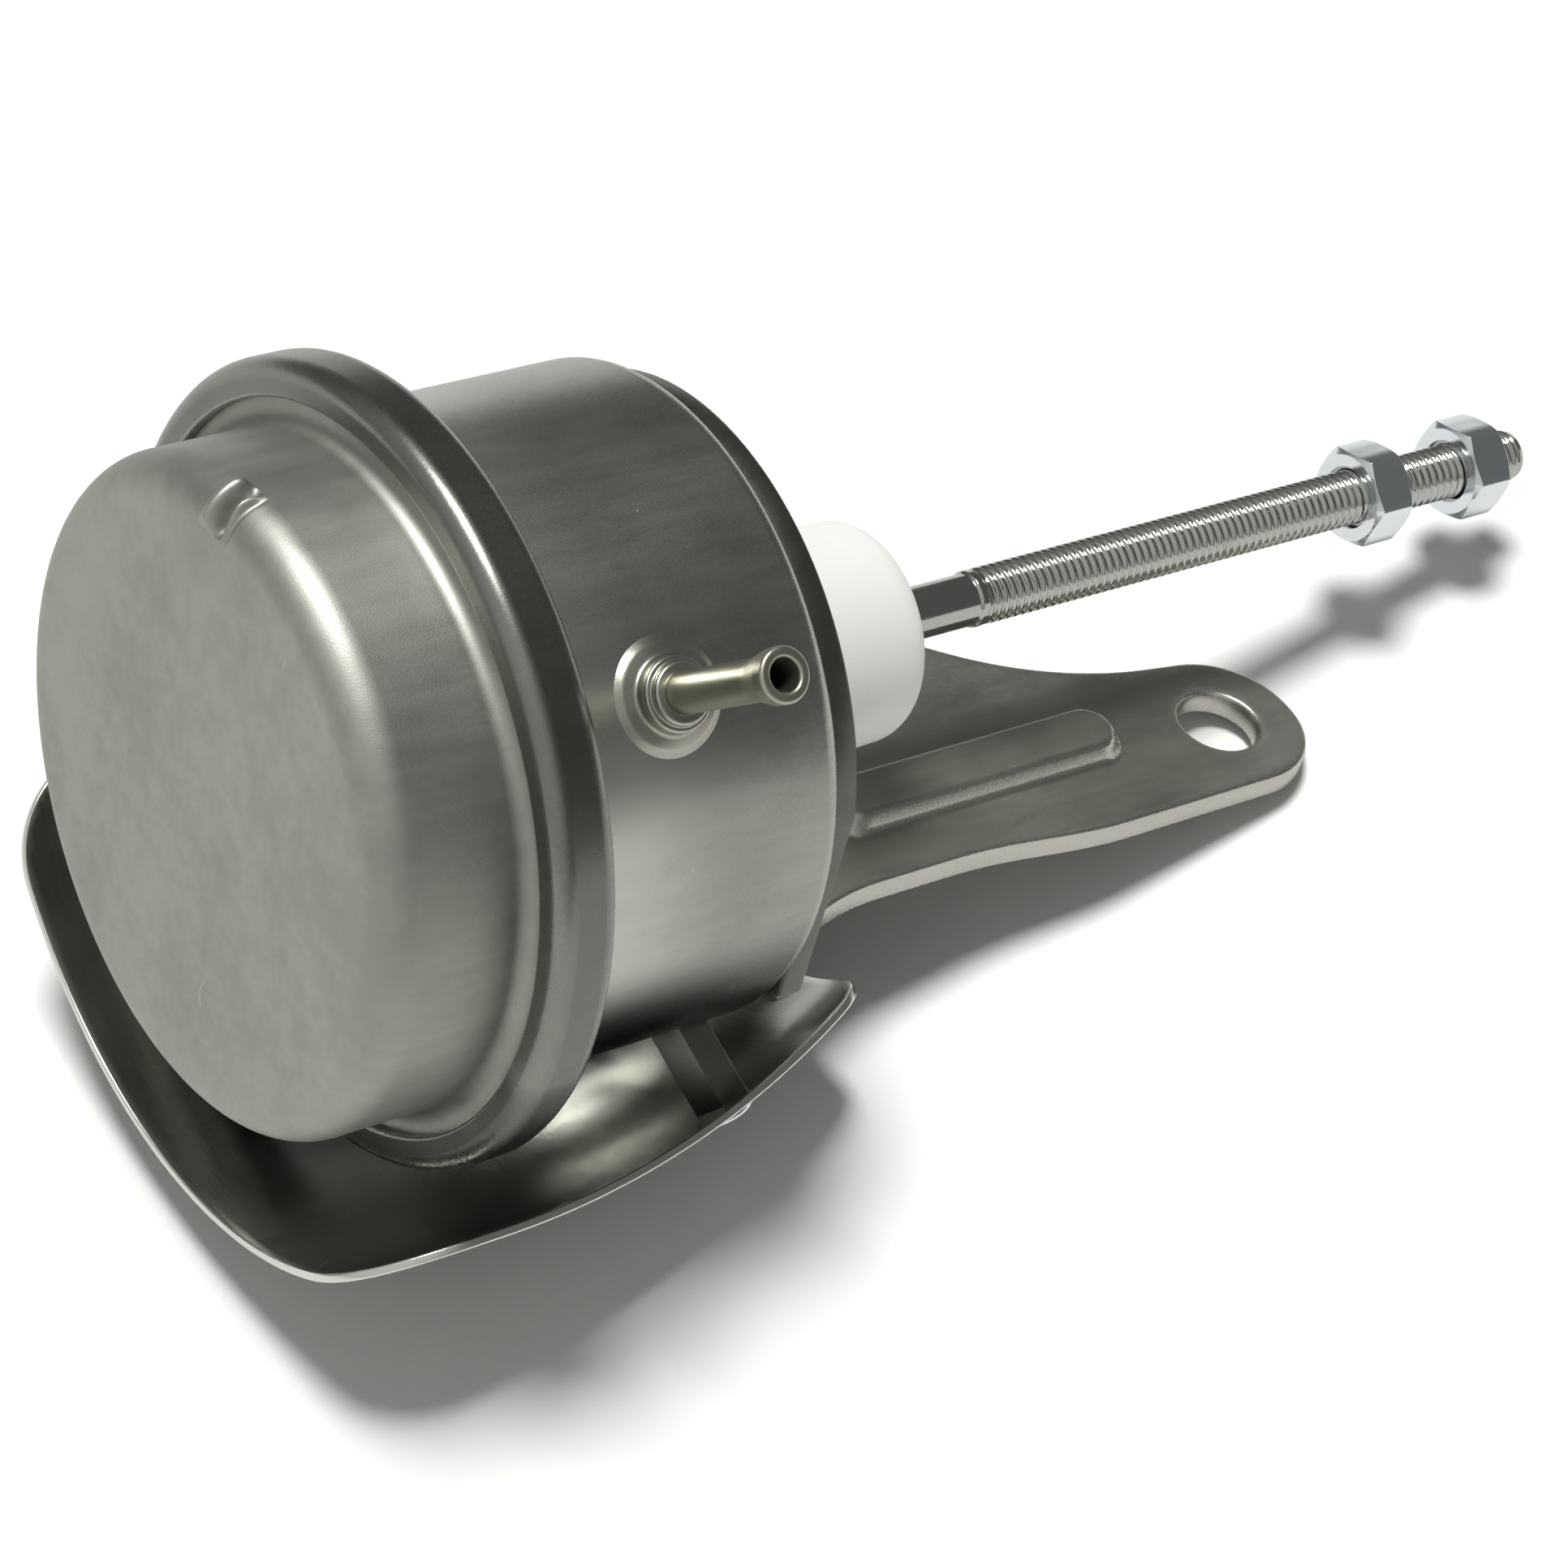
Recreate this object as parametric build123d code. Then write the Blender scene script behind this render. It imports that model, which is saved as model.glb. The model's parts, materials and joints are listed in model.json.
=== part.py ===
from build123d import *
import math
import os

# Wastegate actuator: a pressed can with a crimped front cap, a sliding rod,
# a folded mounting bracket, a hose nipple and a heat shield below.
# Millimetres. X is the rod's axis, with the rod's free end at +X. Z is up and
# the bracket's arm lies level below the rod. The origin is on the rod's axis,
# on the can's rear face, where the bracket is seated.

# Clearances between pieces
press_gap = 0.02
running_gap = 0.05
seat_gap = 0.05
hole_gap = 0.3
thread_gap = 0.05

# Main can with its rolled crimp ring and its drawn neck
can_radius = 33.0
can_sheet = 1.2
can_length = 29.5
can_rear_bend = 1.8
ring_step = 6.3
ring_width = 6.5
ring_lip_gap = 2.6
ring_front_bend = 2.4
ring_rear_bend = 1.6
ring_root_bend = 0.8
neck_radius = 8.0
neck_length = 14.0
neck_bend = 0.6

# Front cap, a flat drawn cover with a flange under the ring's lip
cap_sheet = 1.0
cap_height = 15.5
cap_corner = 4.0
cap_flange_bend = 2.2
vent_angle = -9.0
vent_length = 5.4
vent_width = 1.6
vent_lip_height = 1.0

# Rolling diaphragm, piston cup and retainer
membrane = 0.8
bead_width = 3.5
wall_gap = 0.4
fold_width = 6.0
fold_depth = 7.0
fold_bend = 2.9
cup_sheet = 1.0
cup_skirt = 15.1
cup_bend = 2.5
cup_gap = 0.3
piston_setback = 5.2
retainer_step = 3.6
retainer_rim = 2.5
retainer_bend = 1.6

# Actuator rod and its stroke
travel = 12.0
shank_radius = 2.75
thread_radius = 3.0
thread_start = 40.3
rod_end = 117.1
rod_chamfer = 1.0
spigot_radius = 2.3
flange_radius = 8.0
flange_width = 1.5
rivet_radius = 3.4
rivet_height = 1.2

# Return spring and its seat
spring_margin = 6.1
spring_wire = 1.2
spring_turns = 6.0
seat_sheet = 0.8
seat_rim = 4.0
seat_margin = 3.4
seat_bend = 1.2

# Rod bush, bump stop, seal and seal retainer
bush_radius = 6.0
bush_flange_radius = 10.0
bush_flange = 1.5
bush_length = 9.0
stop_radius = 9.0
stop_length = 6.0
stop_overhang = 0.7
stop_gap = 0.4
stop_bend = 0.8
seal_length = 3.5
seal_lip = 1.0
seal_cone = 1.2
retainer_disc = 1.0
retainer_disc_hole = 4.5

# Rod boot, a moulded guide cover over the neck
boot_length = 25.0
boot_base_radius = 13.6
boot_base = 2.6
boot_root_radius = 12.2
boot_end_radius = 11.3
boot_end_wall = 3.2
boot_rim = 3.4
boot_base_bend = 1.0
boot_step_bend = 0.5
boot_edge_bend = 0.4
boot_inner_bend = 1.0

# Adjusting nuts on the rod's thread
nut_flats = 10.0
nut_height = 5.0
nut_chamfer = 0.9
nut_chamfer_angle = 30.0
nut_countersink = 0.4
inner_nut_place = 93.1
outer_nut_place = 107.7
nut_turn = 12.0

# Bracket, one folded sheet
bracket_sheet = 3.0
plate_margin = 1.8
plate_side_margin = 2.8
arm_drop = 17.3
fold_inside = 2.5
tip_place = 72.7
tip_offset = 10.7
tip_radius = 9.5
bolt_hole = 9.0
waist_offset = 18.2
waist_start = 14.2
waist_end = 36.0
plate_corner_drop = 16.0
fold_corner_offset = 25.4
flare_bend = 25.0
waist_bend = 60.0
near_edge_start = 50.0
far_tip_slope = 0.16
far_corner_place = 27.3
far_corner_bend = 15.0
far_bend_place = 58.6
far_bend = 45.0
rib_start = 21.0
rib_end = 59.5
rib_offset = 8.2
rib_width = 7.6
rib_height = 2.2
rib_top_bend = 0.9
groove_width = 3.4
groove_depth = 1.9

# Weld studs with washers and nuts that hold the bracket
stud_radius = 2.5
stud_spread = 20.0
stud_drop = 6.0
stud_spare = 2.5
stud_nut_flats = 8.0
stud_nut_height = 4.0
stud_nut_chamfer = 0.7
stud_washer = 1.0
stud_washer_radius = 5.0

# Hose nipple and its braze collar
nipple_place = -18.0
nipple_angle = 44.6
nipple_radius = 2.0
nipple_bore = 1.2
nipple_length = 19.5
nipple_root = 2.5
mouth_radius = 2.6
mouth_bore = 1.6
mouth_length = 4.2
mouth_lip = 1.5
mouth_flare_bend = 4.0
mouth_edge_bend = 0.3
mouth_throat_bend = 2.0
dome_radius = 5.7
dome_height = 0.6
collar_radius = 3.6
collar_height = 1.4
collar_lip_radius = 3.0
collar_lip = 0.8
collar_bend = 0.3

# Heat shield, a curved sheet below the can
shield_sheet = 0.9
shield_gap = 6.5
shield_front = 14.8
shield_rear = 15.0
shield_curve = 98.0
shield_half_angle = 53.0
shield_front_corner = 12.0
shield_rear_corner = 5.0

# Shield spacers and low-headed screws
spacer_place = -2.8
spacer_angle = 46.0
spacer_flats = 5.5
spacer_bore_depth = 5.0
screw_radius = 1.5
screw_depth = 4.5
screw_head_radius = 2.75
screw_head_height = 0.9
screw_head_bend = 0.4
screw_socket_flats = 2.0
screw_socket_depth = 0.6

# Places that follow from the sizes above
can_inside = can_radius - can_sheet
ring_radius = can_radius + ring_step
cap_radius = can_radius
ring_lip_radius = cap_radius + ring_lip_gap
ring_rear = -can_length
ring_front = ring_rear - ring_width
cap_flange_face = ring_front + can_sheet
cap_face = cap_flange_face - cap_height
cap_flange_radius = ring_radius - ring_front_bend
bead_front = cap_flange_face + cap_sheet
bead_radius = ring_radius - can_sheet - wall_gap
bead_rear = ring_rear - can_sheet
cup_radius = can_inside - wall_gap - fold_width - cup_gap
retainer_radius = cup_radius - retainer_step
spring_radius = cup_radius - spring_margin
seat_radius = spring_radius + seat_margin
cup_face = cap_face + cap_sheet + piston_setback + cup_sheet
flange_front = cup_face + cup_sheet
flange_rear = flange_front + flange_width
stop_end = flange_rear + travel + stop_gap
plate_radius = can_radius - plate_margin
plate_side = can_radius - plate_side_margin
plate_rear = bracket_sheet
boot_end = plate_rear + boot_length
arm_top = -arm_drop
arm_under = arm_top - bracket_sheet
ring_middle = ring_rear - ring_width / 2
shield_radius = ring_radius + shield_gap
shield_edge = ring_middle - shield_front
cutter = 200.0


def turned(points, bends=0.0):
    """Solid turned about the rod's axis from a closed outline of (x, radius) points."""
    outline = FilletPolyline(*points, radius=bends, close=True)
    return revolve(make_face(outline), Axis.X, 360)


def sheet_outline(path, bends, thickness):
    """Closed outline of a bent sheet that lies to the right of an open path."""
    runs = []
    for (x1, y1), (x2, y2) in zip(path, path[1:]):
        run = math.hypot(x2 - x1, y2 - y1)
        runs.append(((x2 - x1) / run, (y2 - y1) / run))
    inner = []
    for place, (x, y) in enumerate(path):
        before = runs[max(place - 1, 0)]
        after = runs[min(place, len(runs) - 1)]
        share = thickness / (1 + before[0] * after[0] + before[1] * after[1])
        inner.append((x + share * (before[1] + after[1]), y - share * (before[0] + after[0])))
    inner_bends = []
    for bend, before, after in zip(bends, runs, runs[1:]):
        left_turn = before[0] * after[1] - before[1] * after[0] > 0
        inner_bends.append(bend + thickness if left_turn else max(bend - thickness, 0.0))
    radii = [0, *bends, 0, 0, *reversed(inner_bends), 0]
    return FilletPolyline(*path, *reversed(inner), radius=radii, close=True)


def turned_sheet(path, bends, thickness, arc=360.0):
    """Bent sheet turned about the rod's axis."""
    return revolve(make_face(sheet_outline(path, bends, thickness)), Axis.X, arc)


def rod_cylinder(radius, start, end):
    """Plain cylinder on the rod's axis."""
    return Plane.YZ.offset(start) * extrude(Circle(radius), end - start)


def hex_prism(flats, height):
    """Hexagonal prism that stands on the XY plane."""
    return extrude(RegularPolygon(flats / 2, 6, major_radius=False), height)


def hex_nut(flats, height, bore_radius, chamfer_width):
    """Hexagonal nut on the XY plane, its corners chamfered at both ends."""
    corner = flats / math.sqrt(3)
    drop = chamfer_width * math.tan(math.radians(nut_chamfer_angle))
    profile = Polyline(
        (0, 0),
        (corner - chamfer_width, 0),
        (corner, drop),
        (corner, height - drop),
        (corner - chamfer_width, height),
        (0, height),
        close=True,
    )
    blank = revolve(Plane.XZ * make_face(profile), Axis.Z, 360)
    bore = extrude(Circle(bore_radius), height)
    wide = bore_radius + nut_countersink
    lower = Cone(wide, bore_radius, nut_countersink, align=(Align.CENTER, Align.CENTER, Align.MIN))
    upper = Pos(0, 0, height) * Rot(180, 0, 0) * lower
    return blank & hex_prism(flats, height) - bore - lower - upper


def along_rod(shape, place, turn=0.0):
    """Move a shape that stands on the XY plane onto the rod's axis."""
    return Pos(place, 0, 0) * Rot(turn, 0, 0) * Rot(0, 90, 0) * shape


def make_main_can():
    path = [
        (ring_front, ring_lip_radius),
        (ring_front, ring_radius),
        (ring_rear, ring_radius),
        (ring_rear, can_radius),
        (0, can_radius),
        (0, neck_radius),
        (neck_length, neck_radius),
    ]
    bends = [ring_front_bend, ring_rear_bend, ring_root_bend, can_rear_bend, neck_bend]
    can = turned_sheet(path, bends, can_sheet)
    nipple_hole = on_nipple_axis(extrude(Circle(nipple_radius + press_gap), cutter))
    return can - nipple_hole


def make_front_cap():
    path = [
        (cap_face, 0),
        (cap_face, cap_radius),
        (cap_flange_face, cap_radius),
        (cap_flange_face, cap_flange_radius),
    ]
    cap = turned_sheet(path, [cap_corner, cap_flange_bend], cap_sheet)
    return cap + make_vent_lip() - make_vent_slot()


def on_vent(shape):
    """Move a shape to the middle of the cap's rounded corner, its +Z pointing outwards."""
    middle = cap_radius - cap_corner
    out = Rot(0, -45, 0) * Pos(0, 0, cap_corner) * shape
    return Rot(vent_angle, 0, 0) * Pos(cap_face + cap_corner, 0, middle) * out


def make_vent_slot():
    """Slot across the rounded corner that vents the cap's side of the diaphragm."""
    slot = extrude(SlotOverall(vent_length, vent_width), cap_sheet * 4)
    return on_vent(Pos(0, 0, -cap_sheet * 2) * slot)


def make_vent_lip():
    """Lanced lip of sheet that stands up along one side of the vent slot."""
    lip = extrude(RectangleRounded(vent_length - vent_width, cap_sheet, cap_sheet * 0.3), vent_lip_height + cap_sheet / 2)
    return on_vent(Pos(0, vent_width / 2 + cap_sheet / 2, -cap_sheet / 2) * lip)


def make_diaphragm():
    outer = can_inside - wall_gap
    inner = cup_radius + cup_gap
    leaving = (bead_front + bead_rear) / 2 + membrane / 2
    bead_inside = bead_radius - bead_width
    path = [
        (leaving, bead_inside + membrane),
        (leaving, outer),
        (bead_rear + fold_depth, outer),
        (bead_rear + fold_depth, inner),
        (cup_face, inner),
        (cup_face, spigot_radius + running_gap),
    ]
    bends = [fold_bend / 2, fold_bend, fold_bend, cup_bend + cup_gap]
    sheet = turned_sheet(path, bends, membrane)
    bead = turned(
        [
            (bead_front, bead_inside),
            (bead_front, bead_radius),
            (bead_rear, bead_radius),
            (bead_rear, bead_inside),
        ],
        membrane,
    )
    return sheet + bead


def make_piston_cup():
    path = [
        (cup_face, spigot_radius + running_gap),
        (cup_face, cup_radius),
        (cup_face + cup_skirt, cup_radius),
    ]
    return turned_sheet(path, [cup_bend], cup_sheet)


def make_diaphragm_retainer():
    seat = cup_face - membrane
    path = [
        (seat - retainer_rim, retainer_radius),
        (seat, retainer_radius),
        (seat, spigot_radius + running_gap),
    ]
    return turned_sheet(path, [retainer_bend], cup_sheet)


def make_actuator_rod():
    rivet_seat = cup_face - membrane - cup_sheet
    points = [
        (rivet_seat - rivet_height, 0),
        (rivet_seat - rivet_height, rivet_radius),
        (rivet_seat, rivet_radius),
        (rivet_seat, spigot_radius),
        (flange_front, spigot_radius),
        (flange_front, flange_radius),
        (flange_rear, flange_radius),
        (flange_rear, shank_radius),
        (thread_start, shank_radius),
        (thread_start + thread_radius - shank_radius, thread_radius),
        (rod_end - rod_chamfer, thread_radius),
        (rod_end, thread_radius - rod_chamfer),
        (rod_end, 0),
    ]
    return turned(points)


def make_return_spring():
    start = flange_front + spring_wire + seat_gap
    end = -can_sheet - seat_sheet - spring_wire - seat_gap
    height = end - start
    coil = Helix(height / spring_turns, height, spring_radius, center=(start, 0, 0), direction=(1, 0, 0))
    section = Plane(origin=coil @ 0, z_dir=coil % 0) * Circle(spring_wire)
    return sweep(section, path=coil, is_frenet=True)


def make_spring_seat():
    path = [
        (-can_sheet - seat_rim, seat_radius),
        (-can_sheet, seat_radius),
        (-can_sheet, bush_flange_radius + hole_gap),
    ]
    return turned_sheet(path, [seat_bend], seat_sheet)


def make_rod_bush():
    inside_neck = neck_radius - can_sheet - press_gap
    bore = shank_radius + running_gap
    points = [
        (stop_end + stop_overhang, bore),
        (stop_end + stop_overhang, bush_radius),
        (-can_sheet - bush_flange, bush_radius),
        (-can_sheet - bush_flange, bush_flange_radius),
        (-can_sheet, bush_flange_radius),
        (-can_sheet, inside_neck),
        (bush_length, inside_neck),
        (bush_length, bore),
    ]
    return turned(points)


def make_bump_stop():
    points = [
        (stop_end, bush_radius + press_gap),
        (stop_end, stop_radius),
        (stop_end + stop_length, stop_radius),
        (stop_end + stop_length, bush_radius + press_gap),
    ]
    return turned(points, [0, stop_bend, stop_bend, 0])


def make_rod_seal():
    outer = neck_radius - can_sheet - press_gap
    lip = shank_radius + running_gap
    points = [
        (bush_length, lip + seal_cone),
        (bush_length, outer),
        (bush_length + seal_length, outer),
        (bush_length + seal_length, lip),
        (bush_length + seal_length - seal_lip, lip),
    ]
    return turned(points)


def make_seal_retainer():
    start = bush_length + seal_length
    outer = neck_radius - can_sheet - press_gap
    disc = rod_cylinder(outer, start, start + retainer_disc)
    return disc - rod_cylinder(retainer_disc_hole, start, start + retainer_disc)


def make_rod_boot():
    cavity = neck_radius + hole_gap
    rod_hole = shank_radius + hole_gap
    step = plate_rear + boot_base
    points = [
        (plate_rear, cavity),
        (plate_rear, boot_base_radius),
        (step, boot_base_radius),
        (step, boot_root_radius),
        (boot_end, boot_end_radius),
        (boot_end, rod_hole),
        (boot_end - boot_end_wall, rod_hole),
        (boot_end - boot_end_wall, cavity),
    ]
    bends = [
        0,
        boot_edge_bend,
        boot_base_bend,
        boot_step_bend,
        boot_rim,
        boot_edge_bend,
        0,
        boot_inner_bend,
    ]
    return turned(points, bends)


def make_adjusting_nut(place):
    nut = hex_nut(nut_flats, nut_height, thread_radius + thread_gap, nut_chamfer)
    return along_rod(nut, place, nut_turn)


def arm_outline():
    """Plan of the bracket's arm, seen from above, with the near side at -Y."""
    far_start = tip_offset - tip_radius * math.hypot(1, far_tip_slope)
    tip_front = tip_place + tip_radius
    far_bend_offset = far_start + far_tip_slope * (far_bend_place - tip_place)
    corners = [
        (0, -plate_side),
        (fold_inside + bracket_sheet, -fold_corner_offset),
        (waist_start, -waist_offset),
        (waist_end, -waist_offset),
        (near_edge_start, -tip_offset - tip_radius),
        (tip_front, -tip_offset - tip_radius),
        (tip_front, -far_start - far_tip_slope * tip_radius),
        (far_bend_place, -far_bend_offset),
        (far_corner_place, plate_side),
        (0, plate_side),
    ]
    tip_bend = tip_radius * 0.999
    bends = [0, flare_bend, flare_bend, waist_bend, waist_bend, tip_bend, tip_bend, far_bend, far_corner_bend, 0]
    return make_face(FilletPolyline(*corners, radius=bends, close=True))


def make_rib():
    """Pressed rib on the arm's upper face, with the groove that it leaves below."""
    length = rib_end - rib_start
    middle = (rib_start + rib_end) / 2
    raised = Pos(middle, -rib_offset, arm_top) * extrude(SlotOverall(length, rib_width), rib_height)
    raised = fillet(raised.faces().sort_by(Axis.Z)[-1].edges(), rib_top_bend)
    groove_length = length - rib_width + groove_width
    groove = Pos(middle, -rib_offset, arm_under) * extrude(SlotOverall(groove_length, groove_width), groove_depth)
    return raised, groove


def stud_places():
    """Places of the two studs across the bracket's plate, as (y, z)."""
    return [(-stud_spread, -stud_drop), (stud_spread, -stud_drop)]


def make_bracket():
    profile = sheet_outline(
        [(0, plate_radius), (0, arm_under), (tip_place + 2 * tip_radius, arm_under)],
        [fold_inside + bracket_sheet],
        -bracket_sheet,
    )
    folded = extrude(Plane.XZ * make_face(profile), plate_radius, both=True)
    plate_top = Plane.YZ * (Circle(plate_radius) & Rectangle(2 * plate_side, 2 * plate_radius))
    plate_sides = Plane.YZ * Pos(0, -plate_corner_drop / 2) * Rectangle(2 * plate_side, plate_corner_drop)
    plate_blank = extrude(plate_top + plate_sides, bracket_sheet)
    arm_blank = Pos(0, 0, arm_under) * extrude(arm_outline(), arm_drop)
    bracket = folded & (plate_blank + arm_blank)
    rib, groove = make_rib()
    bracket = bracket + rib - groove
    bracket -= rod_cylinder(neck_radius + neck_bend + hole_gap, -1, plate_rear + 1)
    bolt = Pos(tip_place, -tip_offset, arm_under - 1) * extrude(Circle(bolt_hole / 2), bracket_sheet + 2)
    bracket -= bolt
    for y, z in stud_places():
        bracket -= Pos(0, y, z) * rod_cylinder(stud_radius + hole_gap, -1, plate_rear + 1)
    return bracket


def make_bracket_studs():
    length = plate_rear + stud_washer + stud_nut_height + stud_spare
    studs = []
    for y, z in stud_places():
        stud = rod_cylinder(stud_radius, 0, length)
        stud = chamfer(stud.edges().sort_by(Axis.X)[-1], stud_radius * 0.25)
        studs.append(Pos(0, y, z) * stud)
    return Compound(studs)


def make_bracket_washers():
    washers = []
    for y, z in stud_places():
        ring = rod_cylinder(stud_washer_radius, plate_rear, plate_rear + stud_washer)
        ring -= rod_cylinder(stud_radius + hole_gap, plate_rear, plate_rear + stud_washer)
        washers.append(Pos(0, y, z) * ring)
    return Compound(washers)


def make_bracket_nuts():
    nut = hex_nut(stud_nut_flats, stud_nut_height, stud_radius + thread_gap, stud_nut_chamfer)
    nuts = []
    for y, z in stud_places():
        nuts.append(Pos(0, y, z) * along_rod(nut, plate_rear + stud_washer))
    return Compound(nuts)


def on_nipple_axis(shape):
    """Move a shape that stands on the XY plane onto the nipple's radial axis."""
    return Rot(nipple_angle, 0, 0) * Pos(nipple_place, 0, 0) * shape


def make_hose_nipple():
    bottom = can_radius - nipple_root
    top = can_radius + nipple_length
    points = [
        (nipple_bore, bottom),
        (nipple_radius, bottom),
        (nipple_radius, top - mouth_length),
        (mouth_radius, top - mouth_lip),
        (mouth_radius, top),
        (mouth_bore, top),
        (nipple_bore, top - mouth_length / 2),
    ]
    edge = mouth_edge_bend
    bends = [0, 0, mouth_flare_bend, edge, edge, edge, mouth_throat_bend]
    outline = FilletPolyline(*points, radius=bends, close=True)
    return on_nipple_axis(revolve(Plane.XZ * make_face(outline), Axis.Z, 360))


def make_nipple_collar():
    bore = nipple_radius + press_gap
    base = can_radius - dome_radius
    shoulder = can_radius + dome_height
    step = shoulder + collar_height
    points = [
        (bore, base),
        (dome_radius, base),
        (dome_radius, can_radius),
        (collar_radius, shoulder),
        (collar_radius, step),
        (collar_lip_radius, step),
        (collar_lip_radius, step + collar_lip),
        (bore, step + collar_lip),
    ]
    bend = collar_bend
    outline = FilletPolyline(*points, radius=[0, 0, bend, bend, bend, 0.0, bend, 0], close=True)
    collar = on_nipple_axis(revolve(Plane.XZ * make_face(outline), Axis.Z, 360))
    return collar - rod_cylinder(can_radius + press_gap, ring_front, 0)


def shield_profile_radius(place):
    """Radius of the shield's inner face at a place along the rod's axis."""
    along = max(place - ring_middle, 0.0)
    return shield_radius - shield_curve + math.sqrt(shield_curve * shield_curve - along * along)


def shield_line(outwards=0.0):
    """Points of the shield's section, straight in front and an arc behind: front, joint, middle, end."""
    turn = math.asin((shield_rear - ring_middle) / shield_curve)
    reach = shield_curve + outwards
    centre = shield_radius - shield_curve
    arc = [(ring_middle + reach * math.sin(a), centre + reach * math.cos(a)) for a in (0, turn / 2, turn)]
    return [(shield_edge, shield_radius + outwards), *arc]


def make_heat_shield():
    front, joint, middle, end = shield_line()
    outer_front, outer_joint, outer_middle, outer_end = shield_line(shield_sheet)
    lines = [
        Line(front, joint),
        ThreePointArc(joint, middle, end),
        Line(end, outer_end),
        ThreePointArc(outer_end, outer_middle, outer_joint),
        Line(outer_joint, outer_front),
        Line(outer_front, front),
    ]
    shield = revolve(make_face(lines), Axis.X, 2 * shield_half_angle)
    shield = Rot(-90 - shield_half_angle, 0, 0) * shield
    for side in (-1, 1):
        shield -= shield_corner(shield_edge, 1, side, shield_front_corner)
        shield -= shield_corner(shield_rear, -1, side, shield_rear_corner)
        hole = Cylinder(screw_radius + hole_gap, 4 * shield_sheet)
        shield -= on_shield(hole, spacer_place, side * spacer_angle)
    return shield


def shield_corner(place, inwards, side, radius):
    """What a rounded corner of the shield leaves out, as deep as the sheet curves."""
    block = Pos(inwards * radius / 2, side * radius / 2) * Box(radius, radius, shield_radius)
    rounding = Pos(inwards * radius, side * radius) * Cylinder(radius, shield_radius)
    return on_shield(block - rounding, place, side * shield_half_angle)


def on_shield(shape, place, angle):
    """Move a shape so that its XY plane touches the shield's inner face, its +Z outwards."""
    along = max(place - ring_middle, 0.0)
    tilt = math.degrees(math.asin(along / shield_curve))
    tilted = Pos(place, 0, shield_profile_radius(place)) * Rot(0, tilt, 0) * shape
    return Rot(180 + angle, 0, 0) * tilted


def make_shield_spacers():
    front, joint, middle, end = shield_line()
    lines = [
        Line(front, joint),
        ThreePointArc(joint, middle, end),
        Polyline(end, (end[0], 0), (shield_edge, 0), front),
    ]
    room = revolve(make_face(lines), Axis.X, 360)
    reach = shield_radius - can_radius
    posts = []
    for angle in (-spacer_angle, spacer_angle):
        post = Pos(0, 0, -reach) * hex_prism(spacer_flats, reach * 2)
        bore = Pos(0, 0, -spacer_bore_depth) * extrude(Circle(screw_radius + thread_gap), cutter)
        post = on_shield(post - bore, spacer_place, angle) & room
        posts.append(post - rod_cylinder(can_radius + press_gap, ring_front, cutter))
    return Compound(posts)


def make_shield_screws():
    seat = shield_sheet + seat_gap
    screws = []
    for angle in (-spacer_angle, spacer_angle):
        head = Pos(0, 0, seat) * extrude(Circle(screw_head_radius), screw_head_height)
        head = fillet(head.edges().sort_by(Axis.Z)[-1], screw_head_bend)
        socket = Pos(0, 0, seat + screw_head_height - screw_socket_depth) * hex_prism(screw_socket_flats, cutter)
        shank = Pos(0, 0, -screw_depth) * extrude(Circle(screw_radius), screw_depth + seat)
        screws.append(on_shield(head - socket + shank, spacer_place, angle))
    return Compound(screws)


def write(name, shape):
    """Write one piece of the actuator as a STEP file."""
    export_step(shape, f"parts/{name}.step")


def main():
    os.makedirs("parts", exist_ok=True)
    write("main_can", make_main_can())
    write("front_cap", make_front_cap())
    write("diaphragm", make_diaphragm())
    write("piston_cup", make_piston_cup())
    write("diaphragm_retainer", make_diaphragm_retainer())
    write("actuator_rod", make_actuator_rod())
    write("return_spring", make_return_spring())
    write("spring_seat", make_spring_seat())
    write("rod_bush", make_rod_bush())
    write("bump_stop", make_bump_stop())
    write("rod_seal", make_rod_seal())
    write("seal_retainer", make_seal_retainer())
    write("rod_boot", make_rod_boot())
    write("inner_nut", make_adjusting_nut(inner_nut_place))
    write("outer_nut", make_adjusting_nut(outer_nut_place))
    write("bracket", make_bracket())
    write("bracket_studs", make_bracket_studs())
    write("bracket_washers", make_bracket_washers())
    write("bracket_nuts", make_bracket_nuts())
    write("hose_nipple", make_hose_nipple())
    write("nipple_collar", make_nipple_collar())
    write("heat_shield", make_heat_shield())
    write("shield_spacers", make_shield_spacers())
    write("shield_screws", make_shield_screws())


main()
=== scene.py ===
"""Dressed visual model of a diaphragm wastegate actuator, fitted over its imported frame.

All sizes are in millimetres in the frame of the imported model: X is the rod's axis with
the threaded end at +X, Z is up and square to the bracket's arm, and the origin is on the
can's rear face. Meshes are written in metres.
"""
from __future__ import annotations

import json
import logging
import math
from contextlib import contextmanager
from dataclasses import dataclass, field
from enum import Enum
from typing import Any, Callable, Iterator, Sequence

import bmesh
import bpy
import numpy as np
from mathutils import Matrix, Vector
from mathutils.geometry import delaunay_2d_cdt

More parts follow.
